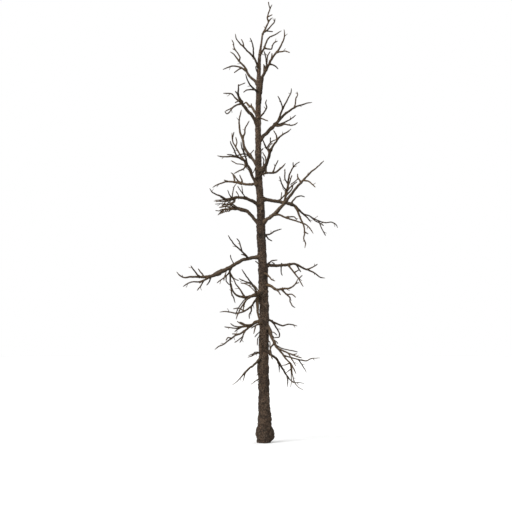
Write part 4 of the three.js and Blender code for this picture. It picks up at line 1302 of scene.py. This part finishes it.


# In each finish, the two numbers after its size are painted shade and painted light: how much
# darker the bark is painted where it faces away from the light, and how much paler where it faces
# it.
finishes = {
    "trunk_bark": bark_finish(
        "furrowed_trunk_bark", furrow=(0.016, 0.010, 0.006, 1), plate=(0.063, 0.040, 0.0255, 1),
        flake=(0.106, 0.074, 0.051, 1), size=60.0, painted_shade_dim=0.95, painted_light_lift=1.1, mottle=0.5),
    "bough_bark": bark_finish(
        "flaking_bough_bark", furrow=(0.016, 0.011, 0.007, 1), plate=(0.068, 0.043, 0.025, 1),
        flake=(0.118, 0.082, 0.051, 1), size=110.0, painted_shade_dim=0.63, painted_light_lift=1.23, mottle=0.3),
    "twig_bark": bark_finish(
        "thin_twig_bark", furrow=(0.018, 0.013, 0.008, 1), plate=(0.066, 0.040, 0.020, 1),
        flake=(0.108, 0.070, 0.036, 1), size=170.0, painted_shade_dim=0.53, painted_light_lift=1.26, mottle=0.2,
        thin=(0.092, 0.054, 0.026, 1)),
}

# ---------------------------------------------------------------- the tree

BOUGH_SIDES = 20
BOUGH_PLATES = 42          # to a metre


def draw_snags(sleeves, bearer, drawn=None):
    """Draws the snags of a limb that was drawn along a line, or those of the trunk."""
    for limb in snags.get(bearer, []):
        foot, hidden = drawn.spot(limb.place) if drawn else (limb.points[0], outlet(limb)[1])
        on = Drawn(limb, foot, hidden)
        on.thin_out()
        sleeves.add(sleeve_of(on, limb, sides_for(limb.radius)))


def draw_on_bearer(limb):
    """The line of a bough or of a mass's stem, from the trunk, a bough's side or a bough's tip."""
    if limb.parent == "trunk":
        hidden = outlet(limb)[1] if limb.place < TRUNK_HEIGHT else 0
        return Drawn(limb, limb.points[0], hidden)
    bearer = drawn_boughs[limb.parent]
    if limb.place < 1:
        return Drawn(limb, *bearer.spot(limb.place))
    back = np.argmax(bearer.lengths[-1] - bearer.lengths < LEAD_IN)
    drawn = Drawn(limb, bearer.line[-1], 0, before=bearer.line[back])
    drawn.lead_in(bearer)
    return drawn


number_limbs(BOUGHS + TWIG_MASSES + SNAGS, 1)
feet = [(outlet(limb)[0], limb.radius) for limb in BOUGHS + TWIG_MASSES + SNAGS
        if limb.parent == "trunk" and limb.place < TRUNK_HEIGHT]

trunk = Rolled()
trunk.add(trunk_sleeve(feet))
draw_snags(trunk, "trunk")
trunk.to_piece("trunk_with_bark", "trunk_bark", "trunk")

drawn_boughs = {}
for limb in BOUGHS:
    drawn = drawn_boughs[limb.name] = draw_on_bearer(limb)
    sleeves = Rolled()
    draw_snags(sleeves, limb.name, drawn)
    sleeves.add(sleeve_of(drawn, limb, BOUGH_SIDES, BOUGH_PLATES))
    sleeves.to_piece(limb.name + "_with_bark", "bough_bark", limb.name)

for limb in TWIG_MASSES:
    drawn = draw_on_bearer(limb)
    sleeves = Rolled()
    draw_snags(sleeves, limb.name, drawn)
    draw_forks(sleeves, drawn, limb, SLENDER.get(limb.name, 1))
    drawn.thin_out()
    sleeves.add(sleeve_of(drawn, limb, sides_for(limb.radius)))
    sleeves.to_piece(limb.name + "_grown", "twig_bark", limb.name)

# ---------------------------------------------------------------- floor, light and camera

FLOOR_RADIUS = 45
FLOOR_SIDES = 96
FLOOR_TINTS = ((0.625, 0.625, 0.625, 1), (0.645, 0.645, 0.64, 1))
DUST_RATE = 3.0            # to a metre
FLOOR_ROUGHNESS = 0.9

CAMERA_LENS = 200
CAMERA_SENSOR = 36
CAMERA_TILT = math.radians(1)     # how far the camera looks down
CAMERA_REACH = 400
FRAME_CENTRE = Vector((-0.22, 0, 5.14))
FRAME_HEIGHT = 14.08


def add_sun(name, bearing, height, strength, spread):
    """A broad soft light, with its bearing (0 is the front), height and spread in degrees."""
    light = bpy.data.lights.new(name, "SUN")
    light.energy = strength
    light.angle = math.radians(spread)
    set_up(name, light).rotation_euler = (math.radians(90 - height), 0, math.radians(bearing))


pale = bpy.data.materials.new("pale_floor")
pale.use_nodes = True
graph = Graph(pale.node_tree)
shader = pale.node_tree.nodes["Principled BSDF"].inputs
dust = graph.noise(graph.node("ShaderNodeTexCoord").outputs["Object"], DUST_RATE)
graph.put(shader["Base Color"], graph.mix(dust, *FLOOR_TINTS))
graph.put(shader["Roughness"], FLOOR_ROUGHNESS)

floor_mesh = bpy.data.meshes.new("floor")
bm = bmesh.new()
bmesh.ops.create_circle(bm, cap_ends=True, segments=FLOOR_SIDES, radius=FLOOR_RADIUS)
bm.to_mesh(floor_mesh)
bm.free()
floor_mesh.materials.append(pale)
floor = set_up("floor", floor_mesh)

scene = bpy.context.scene
scene.world = bpy.data.worlds.new("white_studio")
scene.world.use_nodes = True
background = scene.world.node_tree.nodes["Background"].inputs
background["Color"].default_value = (1, 1, 1, 1)
background["Strength"].default_value = 1.0
scene.view_settings.view_transform = "Standard"
add_sun("key_light", bearing=-42, height=38, strength=3.4, spread=35)
add_sun("fill_light", bearing=140, height=30, strength=0.7, spread=60)

camera_data = bpy.data.cameras.new("camera")
camera_data.lens = CAMERA_LENS
camera_data.sensor_width = CAMERA_SENSOR
camera_data.clip_end = CAMERA_REACH
distance = FRAME_HEIGHT * CAMERA_LENS / CAMERA_SENSOR
back_off = Vector((0, -math.cos(CAMERA_TILT), math.sin(CAMERA_TILT))) * distance
camera = set_up("camera", camera_data)
camera.location = FRAME_CENTRE + back_off
camera.rotation_euler = (math.radians(90) - CAMERA_TILT, 0, 0)
scene.camera = camera
